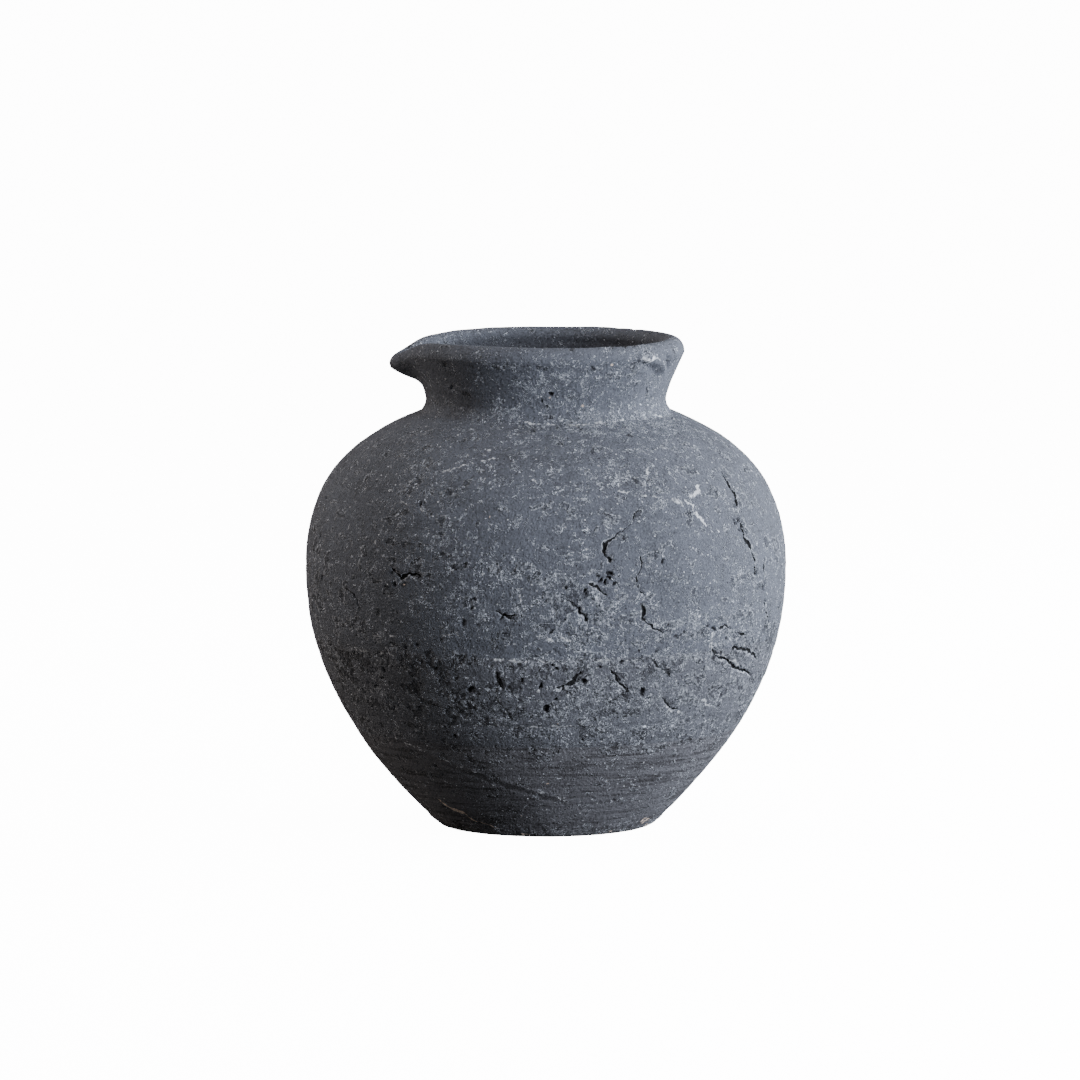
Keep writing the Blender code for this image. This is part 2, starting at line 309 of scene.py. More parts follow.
# %% Lime lines as (half width, line), lime dots as (angle, height, radius), and the same for buff chips
LIME_LINES = [
    (0.55, [(20, 181.7), (22.4, 181), (24.6, 179.6), (27.4, 178.4), (29.6, 177.5)]),
    (0.8, [(38.8, 174.2), (39.6, 172), (40, 170), (41, 167), (42, 163.8)]),
    (0.5, [(44.8, 165), (45.4, 161), (46.2, 157.5)]),
    (0.7, [(40.4, 177), (43.2, 178.3), (44.8, 181.7), (47, 182.7), (50, 182.5)]),
    (0.4, [(28.4, 184.2), (29.8, 188), (31.2, 192.5)]),
    (0.4, [(-6, 188.4), (-4.4, 187), (-3.2, 187.8), (-2.4, 186.2)]),
    (0.35, [(11.6, 154.6), (8, 153.3), (5.2, 151.3)]),
    (0.4, [(-25.2, 110.4), (-22, 111.3), (-16.8, 109.6), (-14, 110), (-11.6, 107.5), (-7, 106.7)]),
    (0.35, [(-45.6, 106.7), (-37.6, 107.5), (-32, 106.7)]),
    (0.3, [(-3.4, 148.8), (-4.4, 141.7)]),
    (0.3, [(-6, 135.8), (-6, 128.3)]),
    (0.45, [(46, 73.3), (48.4, 70.4), (52.4, 68.8)]),
    (0.6, [(33.4, 71.2), (35.6, 69.0), (38.4, 67.8)]),
    (0.4, [(44, 107.5), (44.2, 103.3), (44.7, 99.7)]),
    (0.5, [(47.4, 97.4), (51, 94.8), (56.4, 90.2)]),
    (0.5, [(-1.6, 110.6), (0.6, 109.4), (3.4, 109.8), (5.8, 108.6)]),
    (0.45, [(-12, 98.4), (-8, 98.6), (-4, 97.8), (0, 97.6), (4, 97.9)]),
    (0.35, [(12, 98), (18, 98.4), (24, 97.6)]),
    (0.3, [(-44, 172), (-40, 174), (-34, 173), (-28, 167.5)]),
    # The two strokes on the rim fold are partly lime and partly a painted highlight on the fold's upper side.
    (0.8, [(45, 246), (48, 246), (52, 244.8)]),
    (0.3, [(52, 244.8), (55, 243.6), (58.4, 241.3), (62.4, 237.2)]),
    (0.4, [(-58, 97.5), (-48, 98.6), (-40, 97.4)]),
    (0.35, [(36, 49.8), (39, 50.3), (42, 49.6)]),
    (0.55, [(-14, 213), (0, 212), (14, 211.4), (26, 211.8), (38, 212.6)]),
    (0.6, [(60, 213.2), (66, 212.4), (73, 210.5)]),
    (0.35, [(-38, 187.5), (-30, 190), (-22, 194.5), (-16, 197.5)]),
    (0.35, [(-50, 52.5), (-36, 44), (-24, 38)]),
    (0.3, [(-6, 29), (4, 24.5), (8, 21)]),
    (0.3, [(-20, 63.5), (-8, 63), (6, 63.6), (18, 63)]),
]

LIME_DOTS = [
    (35.6, 175, 2.0), (36.6, 173.6, 1.3), (34.4, 176.2, 1.0), (47.6, 187.5, 0.9), (35.4, 163.5, 0.7),
    (36.7, 158.8, 0.7), (-34.4, 206.3, 1.1), (-18.8, 200.5, 1.1), (15.6, 193.8, 0.8), (32, 198.8, 0.9),
    (-28.8, 190.5, 0.8), (-34.6, 147.5, 0.8), (-37.8, 140, 0.7), (-15, 141.3, 1.0), (-2.6, 157.1, 0.6),
    (32.6, 40.8, 0.7), (57.6, 30, 0.8), (57.2, 27.5, 0.7), (-66.4, 82.5, 0.9), (-45, 154.2, 1.2),
    (-45.4, 179.6, 1.0), (-3.6, 137.4, 1.1), (-6.2, 140.2, 0.6), (16.4, 133.6, 1.0), (36.5, 246.4, 0.9),
    (-1.6, 82.4, 1.2), (17.2, 95.6, 0.6), (39, 118.2, 0.8), (-14.6, 118.4, 0.8),
]

BUFF_LINES = [
    (1.1, [(-48.4, 17.8), (-46.2, 16), (-44, 14.4), (-41, 13.4), (-38.4, 12.9)]),
    (0.35, [(-38.4, 12.9), (-37.6, 10), (-32, 7.5), (-25.2, 5.8)]),
]

BUFF_DOTS = [
    (-33.6, 2.2, 0.9), (-32, 1.8, 0.7), (-12, 1.7, 0.9), (-10, 1.4, 0.9), (-8, 1.8, 0.7), (-11, 12.9, 0.6),
    (0.8, 30.8, 0.7), (22.2, 31.7, 0.5), (55, 6.6, 1.8), (57.5, 5, 1.9), (60, 6.2, 1.5), (63.5, 3.4, 1.2),
    (2.0, 224.9, 0.6), (17.6, 220, 1.1), (28.4, 242.2, 1.0), (-13.6, 170, 0.7), (-35.4, 134.6, 0.7),
    (-42.4, 133.3, 0.6), (3.4, 65.4, 0.6), (36, 1.6, 1.2), (30, 1.4, 0.9),
]

# %% Soft dents, as (half width, depth, line) in mm. A depth below 0 is a raised fold
DENTS = [
    (2.6, -1.5, [(43, 245.4), (50, 244.0), (56, 241.2), (62, 236.8)]),
    (1.7, 1.2, [(51, 249), (57, 246.6), (62, 243.0), (66.5, 237)]),
    (1.8, 1.1, [(44, 240.8), (50, 238.6), (57, 234.6)]),
    (2.4, -0.7, [(56, 96.5), (60.5, 93.8), (65.5, 90)]),
    (1.3, 0.35, [(-51.7, 49), (-36, 40.5), (-16.4, 30.2), (7.4, 19.1)]),
    (1.5, -0.3, [(-50, 52), (-34, 43.5), (-15, 33), (8, 22)]),
    (3.5, 0.5, [(-21, 104), (-12, 103)]),
    (4.0, 0.6, [(12, 139), (14, 128), (10, 120)]),
    (1.2, 0.3, [(-60, 62.5), (-20, 62.9), (20, 62.4), (60, 62.8)]),
    (0.9, 0.25, [(-50, 50), (0, 50.4), (50, 49.8)]),
]

# %% Where lime has bloomed, as (angle, height, half width in degrees, half height in mm, strength)
BLOOMS = [
    (24, 213, 36, 5.5, 0.7), (62, 210, 18, 7, 0.6), (-30, 217, 22, 7, 0.3), (0, 239, 15, 7, 0.5),
    (20, 189, 3, 4, 0.9), (28, 186, 3, 5, 0.6), (-45, 196, 12, 7, 0.3), (-4, 222, 12, 5, 0.2),
    (46, 244, 7, 4, 0.3), (25, 231, 28, 8, 0.3), (38, 175, 8, 5, 0.25),
    (14, 128, 13, 14, 0.35), (27, 113, 10, 7, 0.45), (3, 110, 6, 3.5, 0.7), (37, 117, 12, 9, 0.4),
    (0, 98, 34, 2.2, 0.5), (20, 82, 30, 12, 0.3), (28, 74, 11, 7, 0.4), (34, 61, 26, 6, 0.45),
    (-4, 70, 18, 5, 0.35), (47, 104, 13, 9, 0.4), (60, 150, 12, 40, 0.25), (-34, 146, 20, 26, 0.2),
    (12, 3, 45, 3.5, 0.55), (-12, 190, 25, 12, 0.15), (-16, 103, 10, 4, -0.35), (30, 155, 12, 12, -0.15),
    (-45, 75, 22, 16, 0.12), (12, 42, 26, 5, 0.12), (50, 24, 16, 12, 0.2), (-30, 30, 40, 14, -0.12),
]

# %% Where the skin stayed calm and whole, as (angle, height, half width, half height, strength)
CALM = [
    (56, 241, 11, 7, 1.2), (-16, 103, 10, 4, 1.0), (33, 150, 13, 17, 0.6), (36, 130, 8, 10, 0.5),
    (-25, 165, 22, 14, 0.4), (-34, 90, 18, 13, 1.1), (45, 125, 16, 18, 0.35), (5, 165, 10, 8, 0.4),
    (0, 232, 60, 5, 0.3),
]

# %% Measuring the distance to a mark
REACH = 3.5     # mm: farther from a mark than this, nothing of it is left


class Wall:
    """The fine grid of one clay piece: lengths up the path by angles round the pot."""

    def __init__(self, lengths, angles):
        self.lengths = lengths / MM
        self.angles = angles
        self.point, self.normal = at_length(lengths)
        self.radius = self.point[:, 0] / MM
        self.height = self.point[:, 1] / MM
        r = self.point[:, :1]
        self.base = ring(r, self.point[:, 1:], angles)
        self.out = ring(self.normal[:, :1], self.normal[:, 1:], angles)
        mm = self.base / MM
        # The unrolled place of each point is pushed about a little, which makes the marks ragged.
        self.push_x = 0.9 * hills(mm, 3.4, 11) + 0.75 * hills(mm, 1.5, 12)
        self.push_y = 0.9 * hills(mm, 3.6, 13) + 0.75 * hills(mm, 1.6, 14)
        # Lines swell and pinch off along their way.
        self.swell = np.clip(0.95 + 0.85 * hills(mm, 4.2, 15) + 0.45 * hills(mm, 1.8, 16), 0.15, 2.0)


def ring(radius, height, angles):
    """Points of a section (radius, height) at the angles: x = radius sin(angle), y = -radius cos(angle)."""
    flat = np.ones_like(angles)
    return np.stack([radius * np.sin(angles), -radius * np.cos(angles), height * flat], axis=-1)


def segment_distance(wall, start, end, reach, ragged=1.0):
    """Signed distance in mm from the points near a segment to it, and the patch of the grid they fill.

    The sign says on which side of the segment a point is, so that a line thinner than the grid's
    spacing still passes through zero between two points. ragged says how much the push counts.
    """
    (angle0, height0), (angle1, height1) = start, end
    s0, s1 = [length_at(h * MM) / MM for h in (height0, height1)]
    radius = float(outline_radius(np.array((height0 + height1) / 2 * MM))) / MM
    margin = math.degrees(reach / radius)
    rows = slice(*np.searchsorted(wall.lengths, [min(s0, s1) - reach, max(s0, s1) + reach]))
    turned = np.degrees(wall.angles)
    cols = slice(*np.searchsorted(turned, [min(angle0, angle1) - margin, max(angle0, angle1) + margin]))
    x = np.radians(turned[None, cols] - angle0) * radius + ragged * wall.push_x[rows, cols]
    y = wall.lengths[rows, None] - s0 + ragged * wall.push_y[rows, cols]
    run, rise = math.radians(angle1 - angle0) * radius, s1 - s0
    size = max(run * run + rise * rise, 1e-9)
    share = np.clip((x * run + y * rise) / size, 0, 1)
    gap = np.hypot(x - share * run, y - share * rise)
    return np.where(x * rise - y * run < 0, -gap, gap), rows, cols


def draw_lines(wall, lines):
    """Signed distance to the nearest line and that line's half width, both in mm, and the depth carved."""
    shape = (len(wall.lengths), len(wall.angles))
    signed = np.full(shape, REACH)
    width = np.zeros(shape)
    carved = np.zeros(shape)
    for half, depth, line in lines:
        for start, end in zip(line, line[1:]):
            gap, rows, cols = segment_distance(wall, start, end, REACH)
            nearer = np.abs(gap) < np.abs(signed[rows, cols])
            signed[rows, cols] = np.where(nearer, gap, signed[rows, cols])
            here = half * wall.swell[rows, cols]
            fade = here * (1 - smooth(np.abs(gap), half + 0.8, half + 1.6))
            width[rows, cols] = np.where(nearer, fade, width[rows, cols])
            groove = depth * np.clip(1 - np.abs(gap) / (here + 0.45), 0, 1) ** 0.8
            carved[rows, cols] = np.maximum(carved[rows, cols], groove)
    return signed, width, carved


def draw_dots(wall, dots):
    """For each point, the strongest dot: 1 at a dot's centre, 0 on its edge and below 0 outside it."""
    strength = np.full((len(wall.lengths), len(wall.angles)), -1.0)
    for angle, height, radius in dots:
        gap, rows, cols = segment_distance(wall, (angle, height), (angle, height), radius * 2 + 1.5)
        strength[rows, cols] = np.maximum(strength[rows, cols], 1 - np.abs(gap) / radius)
    return strength


PIT_TURN = 2.4      # radians from one pit's lean to the next


def dig_pits(wall, pits):
    """Depth in mm of the placed pits. Each is a short gash with steep sides that leans its own way."""
    depth = np.zeros((len(wall.lengths), len(wall.angles)))
    for number, (angle, height, radius, deep) in enumerate(pits):
        lean = PIT_TURN * number
        across_mm = float(outline_radius(np.array(height * MM))) / MM
        half = 0.45 * radius
        step = np.array([math.degrees(half * math.cos(lean) / across_mm), half * math.sin(lean)])
        start, end = np.array([angle, height]) - step, np.array([angle, height]) + step
        gap, rows, cols = segment_distance(wall, start, end, radius + 2.5)
        bowl = deep * (1 - smooth(np.abs(gap), radius * 0.15, radius * 0.95))
        depth[rows, cols] = np.maximum(depth[rows, cols], bowl)
    return depth


def patches(wall, places):
    """Sum of soft patches, each strong at its middle and fading like a bell both ways."""
    turned = np.degrees(wall.angles)[None, :]
    total = np.zeros((len(wall.lengths), len(wall.angles)))
    for angle, level, half_turn, half_height, strength in places:
        upwards = np.exp(-((wall.height[:, None] - level) / half_height) ** 2)
        total += strength * np.exp(-((turned - angle) / half_turn) ** 2) * upwards
    return total


def press_dents(wall, dents):
    """Height in mm of the soft dents and folds: each a bell curve of the distance to its line."""
    height = np.zeros((len(wall.lengths), len(wall.angles)))
    for half, depth, line in dents:
        bell = np.zeros_like(height)
        for start, end in zip(line, line[1:]):
            gap, rows, cols = segment_distance(wall, start, end, 3 * half, ragged=0.3)
            bell[rows, cols] = np.maximum(bell[rows, cols], np.exp(-(gap / half) ** 2))
        height -= depth * bell
    return height


def lime_bloom(wall, mm, rough):
    """Share of the skin, from 0 to 1, that lime has bloomed on: a random level, and the known blooms.

    Rough clay holds more of it, the scraped foot less.
    """
    scraped = zone(wall.height[:, None], 8, 50, 5)
    share = 0.20 + 0.20 * rough + 0.16 * rough_hills(mm, 28, 81) - 0.12 * scraped
    return np.clip(share + patches(wall, BLOOMS) + 0.07 * hills(mm, 9, 82), 0, 1)


# %% [markdown]
# ## The skin of the clay
#
# The wall was shaped by hand, so it wobbles slightly. Its foot was scraped smooth with a tool that
# left level lines, the coil above it stayed rough and is full of pits, and the shoulder and neck were
# wiped with a wet hand. Each of these is one layer of relief, added up in mm along the wall's normal.

# %% Zones of the skin, as (low, high, soft) in mm, and how much rougher than plain clay each is
BAND = (66, 99, 3)
PLAIN_ROUGHNESS = 0.24
ROUGH_ZONES = [((47, 68, 4), 0.36), (BAND, 0.64), ((98, 150, 9), 0.36), ((150, 212, 8), 0.08)]
SKIN_LAYER = 0.28       # mm of smooth skin over the crumbly clay


# %% Relief of the outside
def zone(height, low, high, soft):
    """1 between the two heights in mm, falling to 0 outside them over the distance soft."""
    return smooth(height, low - soft, low + soft) * (1 - smooth(height, high - soft, high + soft))


def relief(wall):
    """Height of the skin over the plain outline in mm, and what the finish needs to know about it.

    The smooth skin is a thin layer. Where random hills rise over a limit it has worn away, and the
    crumbly clay under it shows, with creases and pits. The rougher the zone, the lower the limit.
    """
    mm = wall.base / MM
    height = wall.height[:, None] + 3.0 * hills(mm, 26, 21)
    band = zone(height, *BAND)
    rough = sum((more * zone(height, *place) for place, more in ROUGH_ZONES), PLAIN_ROUGHNESS)
    rough = rough - 0.4 * patches(wall, CALM)
    rough = np.clip(rough + 0.34 * rough_hills(mm, 24, 22) * smooth(height, 45, 60), 0.08, 1.1)

    wobble = 0.55 * hills(mm, 75, 1) + 0.3 * hills(mm, 31, 2)
    dents = 0.2 * hills(mm, 13, 3) + 0.12 * rough * rough_hills(mm, 6, 4)
    level = np.stack([mm[..., 0] / 14, mm[..., 1] / 14, mm[..., 2]], axis=-1)
    turning = (0.12 - 0.06 * np.clip(rough, 0, 1)) * hills(level, 2.7, 5)
    turning += 0.07 * hills(level, 1.1, 6) * (1 - 0.7 * np.clip(rough, 0, 1))

    side_gap, crack_width, carved = draw_lines(wall, CRACKS)
    beside = np.exp(-(side_gap / 2.6) ** 2)
    wandering = mm + 1.2 * np.stack([hills(mm, 3.4, 41 + k) for k in range(3)], axis=-1)
    limit = 0.46 - 0.50 * rough
    worn = smooth(rough_hills(wandering * [1, 1, 1.3], 6.5, 51, 4), limit, limit + 0.07)
    limit = 0.66 - 0.17 * rough - 0.36 * beside
    deep = smooth(rough_hills(wandering, 3.4, 52, 3), limit, limit + 0.20)
    deep = deep * (0.25 + 0.75 * np.maximum(worn, beside))
    creases = np.clip(1 - 5 * np.abs(hills(wandering, 2.6, 53)), 0, 1) * worn
    crumbs = (0.06 + 0.34 * worn) * rough_hills(mm, 2.6, 7, 3) + (0.04 + 0.12 * worn) * hills(mm, 1.2, 8)
    creases = (0.26 + 0.26 * band) * creases
    hollow = np.maximum.reduce([dig_pits(wall, PITS), 1.25 * deep, 1.25 * carved, creases])
    layer = SKIN_LAYER * (1 - worn)

    slab_edge = zone(wall.height[:, None], -5, 6.6, 0.7)
    ragged_edge = slab_edge * (0.4 * rough_hills(mm, 3.2, 9) + 0.2)
    height_mm = wobble + dents + turning + crumbs + layer - hollow + ragged_edge
    height_mm = height_mm + press_dents(wall, DENTS)
    # The skin settles onto the ground at the heel.
    height_mm = height_mm * smooth(wall.height[:, None], -0.5, 2.0)
    # The finish paints from these fields: lift makes raised places lighter and low ones darker, partly the
    # worn patches' own clay and partly painted light.
    fields = {"hollow": hollow, "lift": crumbs + layer, "worn": worn, "rough": rough,
              "chalk": lime_bloom(wall, mm, rough), "crack_side": side_gap, "crack_width": crack_width}
    return height_mm, fields


# %% [markdown]
# ## The pouring lip
#
# The lip isn't a separate piece. While the rim was soft, two fingers held it from below and one pushed
# out and down from the inside. So the lip is a pull on the rim and collar that have been modelled
# already: full at the rim's crest, fading to nothing part way down the neck, and narrow sideways.

# %% Pulling the lip
LIP_ANGLE = math.radians(-90)
LIP_REACH = 9.6 * MM
LIP_DROOP = 9.0 * MM
LIP_START = 225 * MM        # the pull begins here, part way up the neck
LIP_FULL = 247.5 * MM
LIP_RAGGED = 1.3 * MM


def pinch(angles):
    """How strongly the lip is pulled at each angle: a narrow hump, and a broad faint one behind it."""
    away = np.degrees((angles - LIP_ANGLE + math.pi) % (2 * math.pi) - math.pi)
    broad = np.where(away < 0, 30.0, 20.0)
    return 0.78 * np.exp(-(away / 11.0) ** 2) + 0.22 * np.exp(-(away / broad) ** 2)


def pull_lip(points, base, angles, inside=0.0):
    """Moves points outwards and down by the pinch at their angle and by how high they were on the neck.

    The inside moves a little farther than the outside, so that the lip is thinner than the rim.
    """
    strength = pinch(angles) * smooth(base[..., 2], LIP_START, LIP_FULL)
    out = LIP_REACH * strength * (1 + 0.35 * inside)
    ragged = strength * smooth(rough_hills(base / MM, 3.0, 61), -0.1, 0.6) * LIP_RAGGED
    out = out - ragged * zone(base[..., 2] / MM, 236, 243.5, 2.0)
    moved = points.copy()
    moved[..., 0] += out * np.sin(angles)
    moved[..., 1] -= out * np.cos(angles)
    moved[..., 2] -= LIP_DROOP * strength ** 0.75
    return moved


print("lip at 13 degrees off its middle: %.2f of the full pull" % pinch(np.array([LIP_ANGLE + 0.227]))[0])

# %% [markdown]
# ## The inside
#
# Nobody wipes the inside of a narrow pot. The fingers that thinned each coil left level ridges about
# 9 mm apart, which wander a little as they go round.

# %% Relief of the inside
FINGER_STEP = 9.0       # mm from one finger ridge to the next


def finger_marks(points):
    """Height in mm of the inside's skin: wandering level ridges with soft dents between them."""
    mm = points / MM
    phase = mm[..., 2] / FINGER_STEP + 0.5 * hills(mm, 60, 71)
    return 0.4 * np.sin(2 * math.pi * phase) + 0.45 * hills(mm, 24, 72) + 0.15 * hills(mm, 7, 73)


# %% [markdown]
# ## From grids to closed pieces
#
# The skin needs a fine grid, because its pits are only a millimetre or two wide. The joint faces and
# the inside don't, so they have one column for every four of the skin. Together the two grids run
# right round the wall's section, and a strip of triangles joins them where they meet.

# %% Columns round the pot
COLUMNS = 1008
SHARE = 4               # fine columns to one coarse column
BACK_SPREAD = 0.5       # how much wider the columns are at the back than at the front
ROW_STEP = 0.67 * MM


def column_angles():
    """Angles from -180 to 180 degrees. Their steps grow from 1 in front to 1 + BACK_SPREAD at the back."""
    dense = np.linspace(-math.pi, math.pi, 8001)
    wanted = 1 / (1 + BACK_SPREAD * (1 - np.cos(dense)) / 2)
    total = np.concatenate([[0], np.cumsum((wanted[1:] + wanted[:-1]) / 2)])
    return np.interp(np.arange(COLUMNS) / COLUMNS * total[-1], total, dense)


ANGLES = column_angles()
COARSE_ANGLES = ANGLES[::SHARE]
front = BELLY_RADIUS * (ANGLES[COLUMNS // 2 + 1] - ANGLES[COLUMNS // 2])
print("%d columns, %.2f mm apart at the front of the belly" % (COLUMNS, front / MM))


# %% Faces between the rows of a grid
def quads(rows, cols, first):
    """Four-cornered faces of a grid that closes on itself sideways. Its vertices are numbered from first."""
    i, j = np.meshgrid(np.arange(rows - 1), np.arange(cols), indexing="ij")
    low, high, right = i * cols, (i + 1) * cols, (j + 1) % cols
    corners = np.stack([low + j, low + right, high + right, high + j], axis=-1)
    return first + corners.reshape(-1, 4)


def join_faces(f, c0, c1, fine_below):
    """The five triangles of one coarse column, between its fine corners f and its coarse corners c0, c1."""
    faces = [(f[0], f[1], c0), (f[1], f[2], c0), (f[2], c1, c0), (f[2], f[3], c1), (f[3], f[4], c1)]
    return faces if fine_below else [face[::-1] for face in faces]


def strip(fine, coarse, fine_below):
    """Triangles between a fine row and a coarse row of vertices, facing as the quads do."""
    f = [np.roll(fine, -k)[::SHARE] for k in range(SHARE + 1)]
    faces = join_faces(f, coarse, np.roll(coarse, -1), fine_below)
    return np.stack([np.stack(face, axis=-1) for face in faces], axis=1).reshape(-1, 3)


SHARP_EDGE = math.radians(58)     # the corners between skin and joint, which keep their shading apart


def mesh_of(name, vertices, fours, threes, uv):
    """One mesh from vertices, four- and three-cornered faces, and a texture place for each face corner."""
    mesh = bpy.data.meshes.new(name)
    corners = np.concatenate([fours.ravel(), threes.ravel()]).astype(np.int32)
    sizes = np.concatenate([np.full(len(fours), 4), np.full(len(threes), 3)])
    starts = np.concatenate([[0], np.cumsum(sizes)[:-1]]).astype(np.int32)
    mesh.vertices.add(len(vertices))
    mesh.vertices.foreach_set("co", vertices.astype(np.float32).ravel())
    mesh.loops.add(len(corners))
    mesh.loops.foreach_set("vertex_index", corners)
    mesh.polygons.add(len(starts))
    mesh.polygons.foreach_set("loop_start", starts)
    mesh.update(calc_edges=True)
    layer = mesh.uv_layers.new(name="OFBake")
    layer.data.foreach_set("uv", uv.astype(np.float32).ravel())
    mesh.validate()
    mesh.shade_smooth()
    mesh.set_sharp_from_angle(angle=SHARP_EDGE)
    return mesh


# %% [markdown]
# ## Peeling the skin flat
#
# A painted texture needs a flat copy of each piece, as the peel of an orange has when it is cut into
# strips. The skin is cut into a few equal strips that lie one above the other in the unit square,
# at the same scale, and the hidden faces share one thinner strip under them.

# %% Texture places
STRIPS = 4
GUTTER = 0.004
HIDDEN_TALL = 0.16      # least height of the hidden strip, as a share of the skin's
HIDDEN_WIDE = 0.12      # and as a share of a strip's width


def box_corners(left, right, low, high):
    """Texture places of the four corners of each box, anticlockwise from the bottom left."""
    corners = ((left, low), (right, low), (right, high), (left, high))
    return np.stack([np.stack(corner, axis=-1) for corner in corners], axis=2).reshape(-1, 4, 2)


def corner_places(fine_lengths, coarse_lengths, circumference):
    """Texture places (u, v) of the corners of the fine quads, coarse quads and the two joining strips.

    Each fine strip is as wide as its share of the circumference, in the same scale as its height.
    """
    tall = fine_lengths[-1] - fine_lengths[0]
    wide = circumference / STRIPS
    hidden = coarse_lengths[-1] - coarse_lengths[0]
    hidden_tall = max(HIDDEN_TALL * tall * STRIPS, HIDDEN_WIDE * wide)
    whole = max(wide, tall * STRIPS + hidden_tall) * (1 + GUTTER * (STRIPS + 4))
    gutter = GUTTER * whole

    per = COLUMNS // STRIPS
    i, j = np.meshgrid(np.arange(len(fine_lengths) - 1), np.arange(COLUMNS), indexing="ij")
    number = j // per
    foot = gutter + number * (tall + gutter)
    left, right = (j - number * per) / per * wide, (j - number * per + 1) / per * wide
    low = foot + (fine_lengths[i] - fine_lengths[0])
    high = foot + (fine_lengths[i + 1] - fine_lengths[0])
    fine = box_corners(left, right, low, high)

    base = gutter + STRIPS * (tall + gutter)
    up = base + (coarse_lengths - coarse_lengths[0]) / hidden * hidden_tall
    n = COLUMNS // SHARE
    i, j = np.meshgrid(np.arange(len(up) - 3), np.arange(n), indexing="ij")
    coarse = box_corners(j / n * wide, (j + 1) / n * wide, up[i + 1], up[i + 2])

    x = [(np.arange(n) + q / SHARE) / n * wide for q in range(SHARE + 1)]
    joins = []
    for fine_level, coarse_level, fine_below in ((up[0], up[1], True), (up[-1], up[-2], False)):
        f = [np.stack([place, np.full(n, fine_level)], axis=-1) for place in x]
        c0, c1 = [np.stack([place, np.full(n, coarse_level)], axis=-1) for place in (x[0], x[-1])]
        faces = join_faces(f, c0, c1, fine_below)
        joins.append(np.stack([np.stack(face, axis=1) for face in faces], axis=1).reshape(-1, 3, 2))
    return [(part + gutter) / (whole + 2 * gutter) for part in (fine, coarse, *joins)]


# %% [markdown]
# ## The eight pieces
#
# Every piece is the same recipe: a stretch of skin, then its joint faces and its inside. The skin's
# marks are measured once per piece and stored on its vertices, where the finish reads them later.

# %% Echoes of the marks on the back
ECHO_TURN = -190        # degrees: marks on the right flank, repeated on the back left
ECHO_MIRROR = 165       # degrees: angle a goes to 165 - a, on the back right
LAST_ANGLE = 177
ECHO_SHIFT = 16         # mm
ECHO_LOW, ECHO_HIGH = 3, 244    # mm: an echo stays on the wall


def echoed(marks, place):
    """The marks of the front, and a thinned copy of them on the back, which nobody has seen.

    Mark number k moves up or down too, by ECHO_SHIFT sin(1.7 k), so that no mirror image shows.
    """
    def moved(k, mark):
        shift = ECHO_SHIFT * math.sin(1.7 * k)
        turned = [(ECHO_MIRROR - a if k % 2 else a + ECHO_TURN, h + shift) for a, h, *_ in place(mark)]
        inside = all(-LAST_ANGLE < a < LAST_ANGLE and ECHO_LOW < h < ECHO_HIGH for a, h in turned)
        return turned if inside and min(abs(a) for a, _ in turned) > 85 else None

    copies = [(mark, moved(k, mark)) for k, mark in enumerate(marks) if k % 5 != 4]
    return [(mark, points) for mark, points in copies if points]


def with_back_lines(lines):
    """Lines (..., path) with their echoes."""
    return lines + [(*mark[:-1], points) for mark, points in echoed(lines, lambda m: m[-1])]


def with_back_dots(dots):
    """Dots (angle, height, ...) with their echoes."""
    return dots + [(*points[0], *mark[2:]) for mark, points in echoed(dots, lambda m: [m])]


CRACKS = with_back_lines(CRACKS)
PITS = with_back_dots(PITS)
LIME_LINES = with_back_lines(LIME_LINES)
LIME_DOTS = with_back_dots(LIME_DOTS)
print(len(CRACKS), "cracks,", len(PITS), "placed pits,", len(LIME_LINES) + len(LIME_DOTS), "lime marks")


# %% What the finish reads
def paint_fields(wall, fields):
    """Adds the lime and buff marks to what the finish reads."""
    for mark, lines, dots in (("lime", LIME_LINES, LIME_DOTS), ("buff", BUFF_LINES, BUFF_DOTS)):
        flat = [(half, 0.0, line) for half, line in lines]
        fields[mark + "_side"], fields[mark + "_width"], _ = draw_lines(wall, flat)
        fields[mark + "_dot"] = draw_dots(wall, dots)
    return fields


NO_MARKS = {"crack_side": REACH, "crack_width": 0.0, "lime_side": REACH, "lime_width": 0.0, "lime_dot": -1.0,
            "buff_side": REACH, "buff_width": 0.0, "buff_dot": -1.0}
# Hidden faces, the inside of the pot among them, get a hollow of 0.6 mm, which paints them a little darker as
# painted shade.
HIDDEN_FIELDS = {"hollow": 0.6, "lift": 0.1, "worn": 0.2, "rough": 0.35, "chalk": 0.2, **NO_MARKS}


# %% Building a piece
FINGERED = (16 * MM, 32 * MM)       # past the start of the rim's bead, finger marks take over here
SHADED_INSIDE = (11 * MM, 20 * MM)          # and the inside is painted darker here, as painted shade
INSIDE_SHADE = 0.8                          # how dark that painted shade is: as dark as a hollow this deep, in mm
LIP_INSIDE = (0, 18 * MM)


def past_bead(lengths, stretch):
    """For each row of the skin, 0 before the stretch, 1 after it, both counted from the bead's start."""
    return smooth(lengths, along[BEAD_START] + stretch[0], along[BEAD_START] + stretch[1])[:, None]


